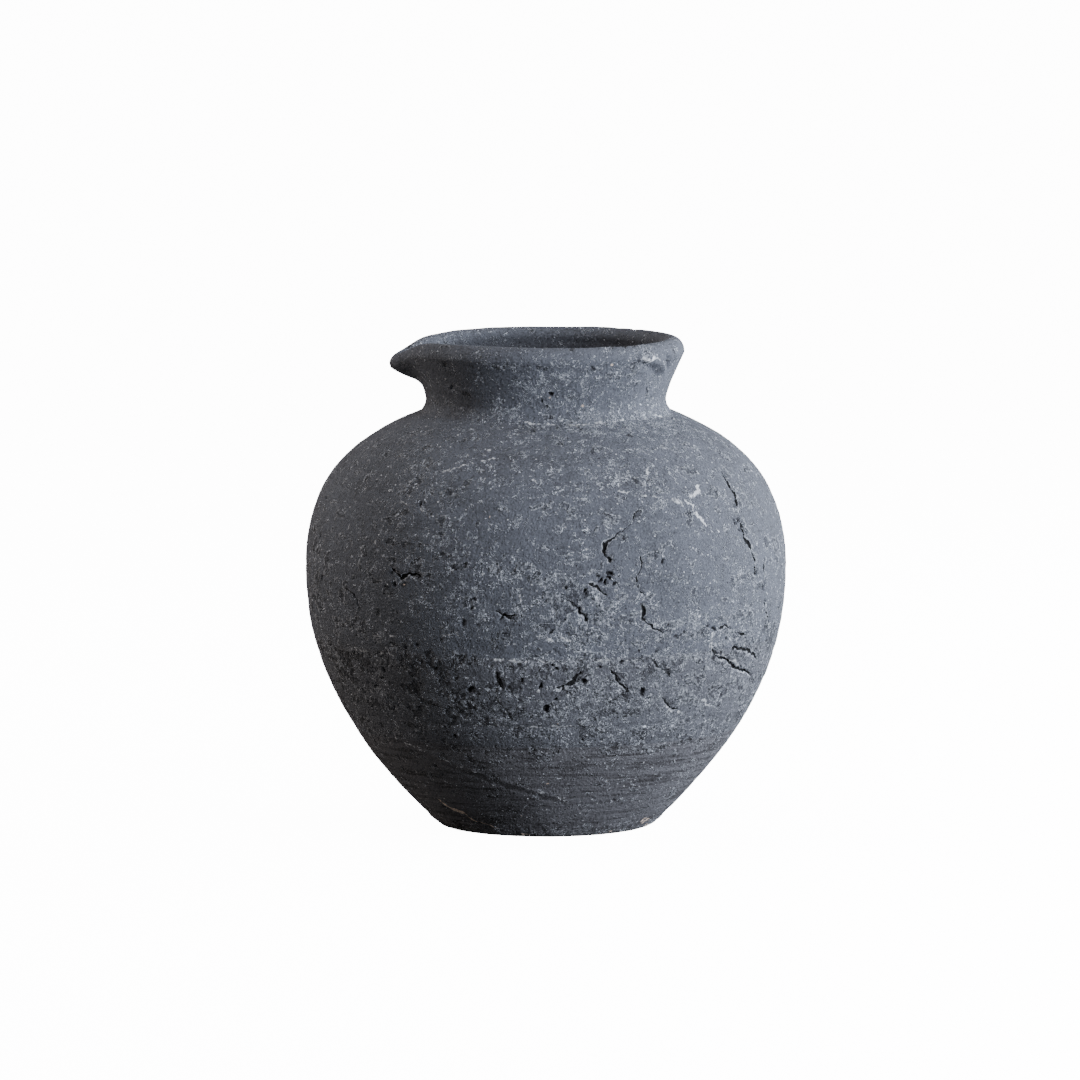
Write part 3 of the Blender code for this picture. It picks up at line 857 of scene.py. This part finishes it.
def build_piece(name, lengths, section, rough_inside, finish, near_lip=False):
    """A closed piece from the skin between the path lengths and the hidden section (radius, height).

    The section runs on from the last length, round the rest of the piece, back to the first. Where
    rough_inside is 1, a point of it gets finger marks.
    """
    wall = Wall(lengths, ANGLES)
    height_mm, fields = relief(wall)
    fields = paint_fields(wall, fields)
    inner_part = past_bead(lengths, FINGERED)
    height_mm = height_mm * (1 - inner_part) + finger_marks(wall.base) * inner_part
    # The inside of the neck past the bead is painted darker, as painted shade carried in the hollow field.
    fields["hollow"] = np.maximum(fields["hollow"], INSIDE_SHADE * past_bead(lengths, SHADED_INSIDE))
    skin = wall.base + wall.out * (height_mm * MM)[..., None]
    hidden_base = ring(section[:, :1], section[:, 1:], COARSE_ANGLES)
    marks = finger_marks(hidden_base) * rough_inside[:, None] * MM
    hidden = hidden_base.copy()
    hidden[..., 0] -= marks * np.sin(COARSE_ANGLES)
    hidden[..., 1] += marks * np.cos(COARSE_ANGLES)
    if near_lip:
        skin = pull_lip(skin, wall.base, ANGLES, past_bead(lengths, LIP_INSIDE))
        hidden = pull_lip(hidden, hidden_base, COARSE_ANGLES, rough_inside[:, None])

    rows, hidden_rows, n = len(lengths), len(section), COLUMNS // SHARE
    fine_index = np.arange(rows * COLUMNS).reshape(rows, COLUMNS)
    hidden_index = rows * COLUMNS + np.arange(hidden_rows * n).reshape(hidden_rows, n)
    fours = np.concatenate([quads(rows, COLUMNS, 0), quads(hidden_rows, n, rows * COLUMNS)])
    threes = np.concatenate([strip(fine_index[-1], hidden_index[0], True),
                             strip(fine_index[0], hidden_index[-1], False)])
    edge = np.vstack([wall.point[-1], section, wall.point[0]])
    hidden_lengths = np.concatenate([[0], np.cumsum(np.linalg.norm(np.diff(edge, axis=0), axis=1))])
    places = corner_places(lengths, hidden_lengths, 2 * math.pi * wall.point[:, 0].mean())
    uv = np.concatenate([part.reshape(-1, 2) for part in places])
    vertices = np.concatenate([skin.reshape(-1, 3), hidden.reshape(-1, 3)])
    mesh = mesh_of(name, vertices, fours, threes, uv)
    for key, plain in HIDDEN_FIELDS.items():
        seen = np.broadcast_to(fields[key], skin.shape[:2]).ravel()
        values = np.concatenate([seen, np.full(hidden.size // 3, plain)])
        mesh.attributes.new(key, "FLOAT", "POINT").data.foreach_set("value", values.astype(np.float32))
    piece = bpy.data.objects.new("clay_" + name, mesh)
    bpy.context.scene.collection.objects.link(piece)
    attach(piece, "root")
    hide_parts(name)
    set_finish(piece, finish)
    triangles = len(fours) * 2 + len(threes)
    print(f"{name}: {triangles:,} triangles, relief {height_mm.min():.2f} to {height_mm.max():.2f} mm")
    return piece


# %% Laps and insides
def lap(seam, gap):
    """The lap joint at the seam, from the outside in: ledge corner, rebate corner, inside edge."""
    point, normal = at_length(seam)
    tangent = np.array([-normal[1], normal[0]])
    thick = wall_thickness(point[1])
    step = LAP_SHARE * thick + gap
    return np.array([point + tangent * gap - normal * step,
                     point + tangent * (gap - LAP_DEPTH) - normal * step,
                     point - tangent * LAP_DEPTH - normal * thick])


FILLET_REACH = 4 * MM       # clay smeared into the corner over the floor
FILLET_RISE = 12 * MM


def inside_rows(low, high, spacing=2.5 * MM):
    """Points of the inside from the length high down to the length low, both ends left out."""
    count = max(int((high - low) / spacing), 2)
    point, normal = at_length(np.linspace(high, low, count + 1)[1:-1])
    inner = point - normal * wall_thickness(point[:, 1])[:, None]
    corner = np.clip(1 - (inner[:, 1] - FLOOR_TOP) / FILLET_RISE, 0, 1)
    inner[:, 0] -= FILLET_REACH * corner ** 2
    return inner


def skin_rows(low, high):
    """Lengths of the skin's rows between two seams."""
    return np.linspace(low, high, int((high - low) / ROW_STEP) + 2)


def coil(name, low, high, finish, near_lip=False):
    """A wall coil: its skin, the lap at its head, its inside, and the lap at its foot."""
    head, foot = lap(high, 0.0), lap(low, SLIP_GAP)[::-1]
    inside = inside_rows(low - LAP_DEPTH, high - LAP_DEPTH)
    section = np.vstack([head, inside, foot])
    rough_inside = np.concatenate([[0, 0, 1], np.ones(len(inside)), [1, 0, 0]])
    return build_piece(name, skin_rows(low, high), section, rough_inside, finish, near_lip)


# %% The wall coils and the collar
COIL_FINISHES = {
    "band_coil": "rough_clay", "belly_coil": "wall_clay", "shoulder_coil": "wall_clay",
    "crown_coil": "wall_clay",
}
build = {}
for (name, finish), low, high in zip(COIL_FINISHES.items(), coil_seams, coil_seams[1:]):
    build[name] = coil(name, low, high, finish)
build["neck_collar"] = coil("neck_collar", neck_seam, rim_seam, "neck_clay", near_lip=True)

# %% [markdown]
# ## The foot coil and the slab
#
# The first coil stands on the slab, round a low land that keeps it centred. Clay was smeared into the
# corner between them, so the inside rounds over there. The slab's underside is flat and only its edge
# shows, a little ragged, because a slab is cut with a wire and isn't trimmed.

# %% The foot coil
foot_inner = float(np.interp(FLOOR_TOP, heights, inner_face(heights)[:, 0])) - FILLET_REACH
inside = inside_rows(slab_seam + 3 * MM, coil_seams[0] - LAP_DEPTH)
clear = (inside[:, 1] > FLOOR_TOP + 0.5 * MM) & (inside[:, 0] > foot_inner + 0.2 * MM)
inside = inside[clear]
stand = np.array([(foot_inner, FLOOR_TOP), (foot_inner, SLAB_TOP + SLIP_GAP)])
section = np.vstack([lap(coil_seams[0], 0.0), inside, stand])
rough_inside = np.concatenate([[0, 0, 1], np.ones(len(inside)), [0, 0]])
foot_rows = skin_rows(slab_seam, coil_seams[0])
build["foot_coil"] = build_piece("foot_coil", foot_rows, section, rough_inside, "foot_clay")


# %% The floor slab
DISC_RADII = np.array([0.01, 5, 12, 20, 29, 38, 45]) * MM     # rings of the slab's flat faces
land = foot_inner - SLIP_GAP
top_face = [(land, SLAB_TOP), (land, FLOOR_TOP)] + [(r, FLOOR_TOP) for r in DISC_RADII[::-1]]
section = np.array(top_face + [(r, 0.0) for r in DISC_RADII])
slab_rows = skin_rows(0.0, slab_seam)
build["floor_slab"] = build_piece("floor_slab", slab_rows, section, np.zeros(len(section)), "foot_clay")

# %% [markdown]
# ## The rim coil
#
# The rim's skin runs over the rolled bead and down the inside of the neck, since both sides show. Its
# hidden part is only the spigot that sits in the collar.

# %% The rim coil
spigot = lap(rim_seam, SLIP_GAP)[::-1]
inside_lengths = along[BEAD_START + len(bead):]
inside_heights = path[BEAD_START + len(bead):, 1]
end = float(np.interp(-spigot[0, 1], -inside_heights, inside_lengths))
rim_rows = skin_rows(rim_seam, end)
build["rim_coil"] = build_piece("rim_coil", rim_rows, spigot[1:], np.zeros(2), "neck_clay", near_lip=True)

# %% [markdown]
# ## The finish
#
# All the clay has one colour, a blue-black grey, and everything else lies on top of it: soft mottling
# from the smoke, a fine grain, light curls where thin edges of the skin have lifted, white lime and a
# few chips that show the buff clay under the smoke. Painted shade lies on it too, black in pinholes,
# cracks and pits and darker in low places and inside the neck, and painted highlights on raised crumbs
# and along the edges of worn patches. Each effect is a node group that gives only masks and heights,
# and the one material per finish joins them with its own strengths.

# %% Helpers for shader nodes
class Tree:
    """Adds nodes to a node tree. An input may be a plain value or another node's output."""

    def __init__(self, nodes_of):
        self.tree = nodes_of

    def add(self, kind, inputs=(), **settings):
        node = self.tree.nodes.new(kind)
        for key, value in settings.items():
            setattr(node, key, value)
        for key, value in dict(inputs).items():
            if isinstance(value, bpy.types.NodeSocket):
                self.link(value, node.inputs[key])
            else:
                node.inputs[key].default_value = value
        return node

    def maths(self, operation, a, b=0.0, c=0.0):
        """The result of one sum on up to three values."""
        return self.add("ShaderNodeMath", {0: a, 1: b, 2: c}, operation=operation).outputs[0]

    def ramp(self, value, start, end, low=0.0, high=1.0):
        """Low where value is at start or before, high where it is at end or after, an S-curve between."""
        node = self.add("ShaderNodeMapRange", {
            "Value": value, "From Min": start, "From Max": end, "To Min": low, "To Max": high,
        }, interpolation_type="SMOOTHSTEP")
        return node.outputs[0]

    def noise(self, place, size, detail=2.0, roughness=0.5, distortion=0.0):
        """Noise from 0 to 1 with hills about size mm wide."""
        node = self.add("ShaderNodeTexNoise", {"Vector": place, "Scale": 1 / size, "Detail": detail,
                                               "Roughness": roughness, "Distortion": distortion})
        return node.outputs["Fac"]

    def mix(self, share, a, b):
        """Colour a turned into colour b by the share."""
        return self.add("ShaderNodeMix", {0: share, 6: a, 7: b}, data_type="RGBA").outputs[2]

    def over(self, colour, mask, share, top):
        """The colour under a layer of top: the mask says where it lies, the share how strongly."""
        return self.mix(self.maths("MULTIPLY", mask, share), colour, top)

    def field(self, name):
        """A value stored on the mesh."""
        return self.add("ShaderNodeAttribute", attribute_name=name).outputs["Fac"]

    def link(self, output, to):
        self.tree.links.new(output, to)


def new_group(name, inputs, outputs):
    """An empty node group with named inputs {name: default} and float outputs, and its two end nodes."""
    tree = bpy.data.node_groups.new(name, "ShaderNodeTree")
    for label, default in inputs.items():
        kind = "NodeSocketVector" if default is None else "NodeSocketFloat"
        socket = tree.interface.new_socket(label, in_out="INPUT", socket_type=kind)
        if default is not None:
            socket.default_value = default
    for label in outputs:
        tree.interface.new_socket(label, in_out="OUTPUT", socket_type="NodeSocketFloat")
    t = Tree(tree)
    return t, t.add("NodeGroupInput").outputs, t.add("NodeGroupOutput").inputs


# %% Grain, curls, pinholes and specks
def smoked_skin_group():
    """Masks of the bare clay's skin, all from noise on the pot's own place in mm."""
    t, given, out = new_group("smoked_skin", {"Place": None, "Rough": 0.5, "Chalk": 0.3}, [
        "Mottle", "Grain", "Crumble", "Flecks", "Curls", "Pinholes", "Specks", "Streaks"])
    place, rough, chalk = given["Place"], given["Rough"], given["Chalk"]
    wide = t.noise(place, 38, 2)
    middle = t.noise(place, 7, 3, 0.65)
    t.link(t.maths("MULTIPLY_ADD", middle, 0.6, t.maths("MULTIPLY", wide, 0.4)), out["Mottle"])
    t.link(t.noise(place, 1.0, 2, 0.7), out["Grain"])
    t.link(t.noise(place, 2.1, 3, 0.7, 0.6), out["Crumble"])

    # Flecks and curls gather in clumps a few millimetres wide.
    clump = t.maths("SUBTRACT", 0.5, t.noise(place, 5.5, 3, 0.6))
    # Flecks: the tops of fine hills, more of them where the clay is chalky.
    level = t.maths("MULTIPLY_ADD", clump, 0.35, t.maths("MULTIPLY_ADD", chalk, -0.08, 0.70))
    tiny = t.ramp(t.maths("SUBTRACT", t.noise(place, 0.9, 1, 0.5), level), 0.0, 0.04)
    small = t.ramp(t.maths("SUBTRACT", t.noise(place, 1.8, 3, 0.75), level), 0.0, 0.05)
    t.link(t.maths("MAXIMUM", tiny, small), out["Flecks"])

    # Curls: thin lines where slow hills cross their middle level, broken into short pieces.
    wander = t.noise(place, 5.0, 2, 0.55, 2.0)
    line = t.ramp(t.maths("ABSOLUTE", t.maths("SUBTRACT", wander, 0.5)), 0.004, 0.017, 1, 0)
    second = t.noise(place, 3.3, 2, 0.5, 1.4)
    short = t.ramp(t.maths("ABSOLUTE", t.maths("SUBTRACT", second, 0.47)), 0.006, 0.021, 1, 0)
    level = t.maths("MULTIPLY_ADD", clump, 0.55, t.maths("MULTIPLY_ADD", chalk, -0.19, 0.632))
    first_piece = t.ramp(t.maths("SUBTRACT", t.noise(place, 6.5, 2, 0.6), level), 0.0, 0.04)
    second_piece = t.ramp(t.maths("SUBTRACT", t.noise(place, 4.5, 2, 0.6, 0.4), level), 0.0, 0.04)
    long_curls = t.maths("MULTIPLY", line, first_piece)
    short_curls = t.maths("MULTIPLY", short, second_piece)
    t.link(t.maths("MAXIMUM", long_curls, short_curls), out["Curls"])

    cells = t.add("ShaderNodeTexVoronoi", {"Vector": place, "Scale": 1 / 1.9})
    chance = t.add("ShaderNodeSeparateColor", {0: cells.outputs["Color"]}).outputs
    dot = t.ramp(cells.outputs["Distance"], 0.12, 0.30, 1, 0)
    many = t.ramp(t.maths("MULTIPLY_ADD", rough, 0.30, chance[0]), 0.97, 1.08)
    t.link(t.maths("MULTIPLY", dot, many), out["Pinholes"])
    dust = t.add("ShaderNodeTexVoronoi", {"Vector": place, "Scale": 1 / 2.6})
    chance = t.add("ShaderNodeSeparateColor", {0: dust.outputs["Color"]}).outputs
    dot = t.ramp(dust.outputs["Distance"], 0.10, 0.22, 1, 0)
    t.link(t.maths("MULTIPLY", dot, t.ramp(chance[1], 0.80, 0.98)), out["Specks"])

    flat = t.add("ShaderNodeMapping", {"Vector": place, "Scale": (0.06, 0.06, 1.0)}).outputs[0]
    t.link(t.noise(flat, 2.2, 4, 0.68), out["Streaks"])
    return t.tree


# %% Marks stored on the mesh
def marks_group():
    """Masks of cracks, lime and buff clay: a stored distance to each mark, roughened by fine noise."""
    masks = ["Crack", "Crack edge", "Lime", "Buff"]
    t, given, out = new_group("kept_marks", {"Place": None, **NO_MARKS}, masks)
    place = given["Place"]
    fray = t.maths("SUBTRACT", t.noise(place, 0.9, 2, 0.65), 0.5)
    gap = t.maths("ABSOLUTE", given["crack_side"])
    inside = t.maths("SUBTRACT", given["crack_width"], t.maths("MULTIPLY_ADD", fray, 1.1, gap))
    t.link(t.ramp(inside, -0.08, 0.16), out["Crack"])
    beside = t.maths("SUBTRACT", t.maths("MULTIPLY_ADD", given["crack_width"], 2.2, 0.0),
                     t.maths("MULTIPLY_ADD", fray, 2.2, gap))
    t.link(t.ramp(beside, 0.1, 0.5), out["Crack edge"])

    broken = t.maths("SUBTRACT", t.noise(place, 1.5, 3, 0.75), 0.5)
    gaps = t.ramp(t.noise(place, 3.6, 1), 0.40, 0.56, 0.9, 0.0)
    line = t.maths("SUBTRACT", t.maths("MULTIPLY", given["lime_width"], 1.5),
                   t.maths("MULTIPLY_ADD", broken, 4.2, t.maths("ABSOLUTE", given["lime_side"])))
    blob = t.maths("MULTIPLY_ADD", broken, -3.2, given["lime_dot"])
    lime = t.maths("MAXIMUM", t.ramp(t.maths("SUBTRACT", line, gaps), -0.1, 0.7), t.ramp(blob, 0.0, 0.9))
    t.link(lime, out["Lime"])
    line = t.maths("SUBTRACT", given["buff_width"],
                   t.maths("MULTIPLY_ADD", broken, 1.9, t.maths("ABSOLUTE", given["buff_side"])))
    blob = t.maths("MULTIPLY_ADD", broken, -1.8, given["buff_dot"])
    t.link(t.maths("MAXIMUM", t.ramp(line, -0.05, 0.3), t.ramp(blob, 0.05, 0.5)), out["Buff"])
    return t.tree


SKIN = smoked_skin_group()
MARKS = marks_group()

# %% The clay itself
SMOKED_DARK = (0.032, 0.0325, 0.037, 1)
SMOKED_LIGHT = (0.101, 0.106, 0.124, 1)
# the colour of painted shade: in pits, cracks, creases, pinholes and inside the neck
PAINTED_SHADE_BLACK = (0.006, 0.006, 0.007, 1)
FLECK_GREY = (0.31, 0.315, 0.34, 1)
# partly dust and partly a painted highlight on the raised crumbs
DUST_AND_HIGHLIGHT_GREY = (0.24, 0.247, 0.27, 1)
CURL_GREY = (0.74, 0.76, 0.82, 1)
LIME_WHITE = (0.68, 0.68, 0.70, 1)
BUFF_CLAY = (0.62, 0.49, 0.40, 1)


def clay_finish(name, flecks, curls, streaks, specks, tint=(1.0, 1.0, 1.0)):
    """Smoked clay. Flecks, curls, streaks and specks say how much of each this part of the pot has."""
    dark, light = [(*(c * k for c, k in zip(clay, tint)), 1.0) for clay in (SMOKED_DARK, SMOKED_LIGHT)]
    material = bpy.data.materials.new(name)
    material.use_nodes = True
    t = Tree(material.node_tree)
    shader = material.node_tree.nodes["Principled BSDF"]
    here = t.add("ShaderNodeTexCoord").outputs["Object"]
    place = t.add("ShaderNodeMapping", {"Vector": here, "Scale": (1000, 1000, 1000)}).outputs[0]
    rough = t.field("rough")
    skin = t.add("ShaderNodeGroup", node_tree=SKIN)
    marks = t.add("ShaderNodeGroup", node_tree=MARKS)
    t.link(rough, skin.inputs["Rough"])
    t.link(t.field("chalk"), skin.inputs["Chalk"])
    for group in (skin, marks):
        t.link(place, group.inputs["Place"])
    for key in NO_MARKS:
        t.link(t.field(key), marks.inputs[key])

    worn, hollow, lift = t.field("worn"), t.field("hollow"), t.field("lift")
    bare, kept = skin.outputs, marks.outputs
    tone = t.maths("MULTIPLY_ADD", bare["Grain"], 0.9, t.maths("MULTIPLY", bare["Mottle"], 0.9))
    tone = t.maths("MULTIPLY_ADD", t.maths("SUBTRACT", bare["Streaks"], 0.5), streaks, tone)
    # Raised places are painted lighter and low ones darker from the stored height lift: the worn patches' own
    # darker clay, and painted light on the crumbs.
    tone = t.maths("MULTIPLY_ADD", lift, 0.45, tone)
    colour = t.mix(t.ramp(tone, 0.56, 1.20), dark, light)
    # The raised crumbs of worn patches are painted lighter, partly as dust and partly as a painted highlight
    # on their tops, and the patches' edges get a painted highlight.
    colour = t.over(colour, t.ramp(lift, 0.04, 0.24), t.maths("MULTIPLY", worn, 0.75), DUST_AND_HIGHLIGHT_GREY)
    # Painted shade: the low places of the crumble relief are darkened.
    colour = t.over(colour, t.ramp(bare["Crumble"], 0.46, 0.30), 0.6, dark)
    colour = t.over(colour, bare["Flecks"], flecks, FLECK_GREY)
    # Painted highlight: light lines along the edges of the worn patches, where the rims of the lifted skin
    # catch the light.
    edge = t.maths("MULTIPLY", t.maths("MULTIPLY", worn, t.maths("SUBTRACT", 1.0, worn)), 4.0)
    colour = t.over(colour, edge, t.maths("MULTIPLY", t.ramp(bare["Grain"], 0.44, 0.60), 0.38), CURL_GREY)
    colour = t.over(colour, bare["Curls"], curls, CURL_GREY)
    colour = t.over(colour, bare["Specks"], specks, LIME_WHITE)
    # Painted shade: pits, cracks, creases and deep worn hollows are darkened by their depth, and so is the
    # inside of the neck.
    colour = t.over(colour, t.ramp(hollow, 0.25, 1.3), 0.88, PAINTED_SHADE_BLACK)
    # Painted shade: the pinholes are painted black.
    colour = t.over(colour, bare["Pinholes"], 0.75, PAINTED_SHADE_BLACK)
    colour = t.over(colour, kept["Crack edge"], 0.3, CURL_GREY)
    # Painted shade: the inside of each crack is painted black.
    colour = t.mix(kept["Crack"], colour, PAINTED_SHADE_BLACK)
    colour = t.over(colour, kept["Lime"], 0.8, LIME_WHITE)
    colour = t.over(colour, kept["Buff"], 0.9, BUFF_CLAY)
    t.link(colour, shader.inputs["Base Color"])

    height = t.maths("MULTIPLY_ADD", bare["Grain"], 0.9, t.maths("MULTIPLY", bare["Curls"], 1.1))
    height = t.maths("MULTIPLY_ADD", bare["Crumble"], t.maths("MULTIPLY_ADD", worn, 2.2, 0.9), height)
    for mask, rise in ((bare["Pinholes"], -0.35), (bare["Streaks"], streaks * 0.4), (kept["Lime"], 0.2),
                       (kept["Crack"], -0.5)):
        height = t.maths("MULTIPLY_ADD", mask, rise, height)
    bump = t.add("ShaderNodeBump", {"Height": height, "Strength": 1.0, "Distance": MM})
    t.link(bump.outputs[0], shader.inputs["Normal"])
    t.link(t.ramp(bare["Mottle"], 0.3, 0.7, 0.80, 0.95), shader.inputs["Roughness"])
    shader.inputs["Specular IOR Level"].default_value = 0.25
    return material


WARM_FOOT = (1.08, 1.0, 0.93)
WARM_BAND = (1.03, 1.0, 0.97)
FINISHES = {
    "foot_clay": clay_finish("scraped_clay", flecks=0.7, curls=0.85, streaks=2.4, specks=0.9, tint=WARM_FOOT),
    "rough_clay": clay_finish("pitted_clay", flecks=0.55, curls=0.95, streaks=0.6, specks=0.7,
                              tint=WARM_BAND),
    "wall_clay": clay_finish("wiped_clay", flecks=0.50, curls=0.95, streaks=0.45, specks=0.8),
    "neck_clay": clay_finish("fingered_clay", flecks=0.50, curls=0.95, streaks=0.35, specks=0.7),
}
for piece in build.values():
    piece.data.materials.append(FINISHES[piece["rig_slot"]])
print("finishes:", ", ".join(m.name for m in FINISHES.values()))

# %% [markdown]
# ## Floor, light and camera
#
# A matt black pot takes a lot of light to show its relief. A softbox stands to the right and in front
# like a low window, so that its light rakes across the pits and falls off to the left. A second one,
# behind on the right, opens the right edge. A soft ceiling light and a weak warm lamp keep the left
# from going black. The pale floor and backdrop are lit apart and glow for the camera only, so that they
# don't wash out the dark foot: the pot gets only a faint bounce from them.

# %% The floor
FLOOR_SIZE = 30.0
FLOOR_WHITE = 13.5
FLOOR_BOUNCE = (0.10, 0.10, 0.10, 1)

floor_mesh = bpy.data.meshes.new("floor")
half_floor = FLOOR_SIZE / 2
floor_mesh.from_pydata([(-half_floor, -half_floor, 0), (half_floor, -half_floor, 0),
                        (half_floor, half_floor, 0), (-half_floor, half_floor, 0)], [], [(0, 1, 2, 3)])
floor = bpy.data.objects.new("floor", floor_mesh)
bpy.context.scene.collection.objects.link(floor)
floor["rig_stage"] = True

pale = bpy.data.materials.new("pale_floor")
pale.use_nodes = True
t = Tree(pale.node_tree)
pale.node_tree.nodes.clear()
seen = t.add("ShaderNodeLightPath").outputs["Is Camera Ray"]
matt = t.add("ShaderNodeBsdfDiffuse", {"Color": (0.85, 0.85, 0.85, 1)}).outputs[0]
glow = t.add("ShaderNodeEmission", {"Color": (1, 1, 1, 1), "Strength": FLOOR_WHITE}).outputs[0]
bright = t.add("ShaderNodeAddShader", {0: matt, 1: glow}).outputs[0]
dull = t.add("ShaderNodeBsdfDiffuse", {"Color": FLOOR_BOUNCE}).outputs[0]
both = t.add("ShaderNodeMixShader", {0: seen, 1: dull, 2: bright}).outputs[0]
t.add("ShaderNodeOutputMaterial", {"Surface": both})
floor_mesh.materials.append(pale)

# %% The backdrop and the fill
BACKDROP = 14.0
FILL = 0.29

world = bpy.data.worlds.new("studio")
world.use_nodes = True
bpy.context.scene.world = world
t = Tree(world.node_tree)
world.node_tree.nodes.clear()
seen = t.add("ShaderNodeLightPath").outputs["Is Camera Ray"]
fill = t.add("ShaderNodeBackground", {"Color": (1.0, 0.97, 0.95, 1), "Strength": FILL}).outputs[0]
white = t.add("ShaderNodeBackground", {"Color": (1, 1, 1, 1), "Strength": BACKDROP}).outputs[0]
both = t.add("ShaderNodeMixShader", {0: seen, 1: fill, 2: white}).outputs[0]
t.add("ShaderNodeOutputWorld", {"Surface": both})


# %% The softboxes
AIM = Vector((-0.003, 0.0, 0.146))


def softbox(name, azimuth, elevation, distance, size, power, colour):
    """A square soft light. Azimuth is in degrees from the front, turning right, and it faces the pot."""
    a, e = math.radians(azimuth), math.radians(elevation)
    towards = Vector((math.sin(a) * math.cos(e), -math.cos(a) * math.cos(e), math.sin(e)))
    lamp = bpy.data.lights.new(name, "AREA")
    lamp.shape = "SQUARE"
    lamp.size = size
    lamp.energy = power
    lamp.color = colour
    holder = bpy.data.objects.new(name, lamp)
    holder.location = AIM + towards * distance
    holder.rotation_mode = "QUATERNION"
    holder.rotation_quaternion = towards.to_track_quat("Z", "Y")
    bpy.context.scene.collection.objects.link(holder)
    return holder


softbox("window", azimuth=54, elevation=10, distance=1.6, size=0.75, power=58, colour=(0.83, 0.895, 1.0))
softbox("window_edge", azimuth=118, elevation=8, distance=1.6, size=1.0, power=66, colour=(0.80, 0.88, 1.0))
softbox("ceiling", azimuth=-85, elevation=64, distance=1.6, size=1.2, power=13, colour=(0.95, 0.96, 1.0))
softbox("warm_side", azimuth=-112, elevation=10, distance=1.8, size=0.9, power=13, colour=(1.0, 0.88, 0.78))

# %% The camera
CAMERA_DISTANCE = 5.0
CAMERA_LIFT = math.radians(6.2)
FRAME_WIDTH = 0.552

camera = bpy.data.cameras.new("camera")
camera.sensor_width = 36.0
camera.lens = camera.sensor_width * CAMERA_DISTANCE / FRAME_WIDTH
camera.clip_end = 100.0
eye = bpy.data.objects.new("camera", camera)
back = Vector((0.0, -math.cos(CAMERA_LIFT), math.sin(CAMERA_LIFT)))
eye.location = AIM + back * CAMERA_DISTANCE
eye.rotation_mode = "QUATERNION"
eye.rotation_quaternion = back.to_track_quat("Z", "Y")
bpy.context.scene.collection.objects.link(eye)
bpy.context.scene.camera = eye
print("lens %.0f mm, %.1f degrees above the level" % (camera.lens, math.degrees(CAMERA_LIFT)))

# %% [markdown]
# ## The size
#
# The box of the frame and the box of the modelled skin that replaces it are both printed. The
# modelled skin may stand only a hair proud of the frame it replaces.

# %% Sizes
low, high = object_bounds()
{"cad": [list(cad_low), list(cad_high)], "visual": [list(low), list(high)]}
print("frame", [round(v / MM, 1) for v in (*cad_low, *cad_high)])
print("skin ", [round(v / MM, 1) for v in (*low, *high)])
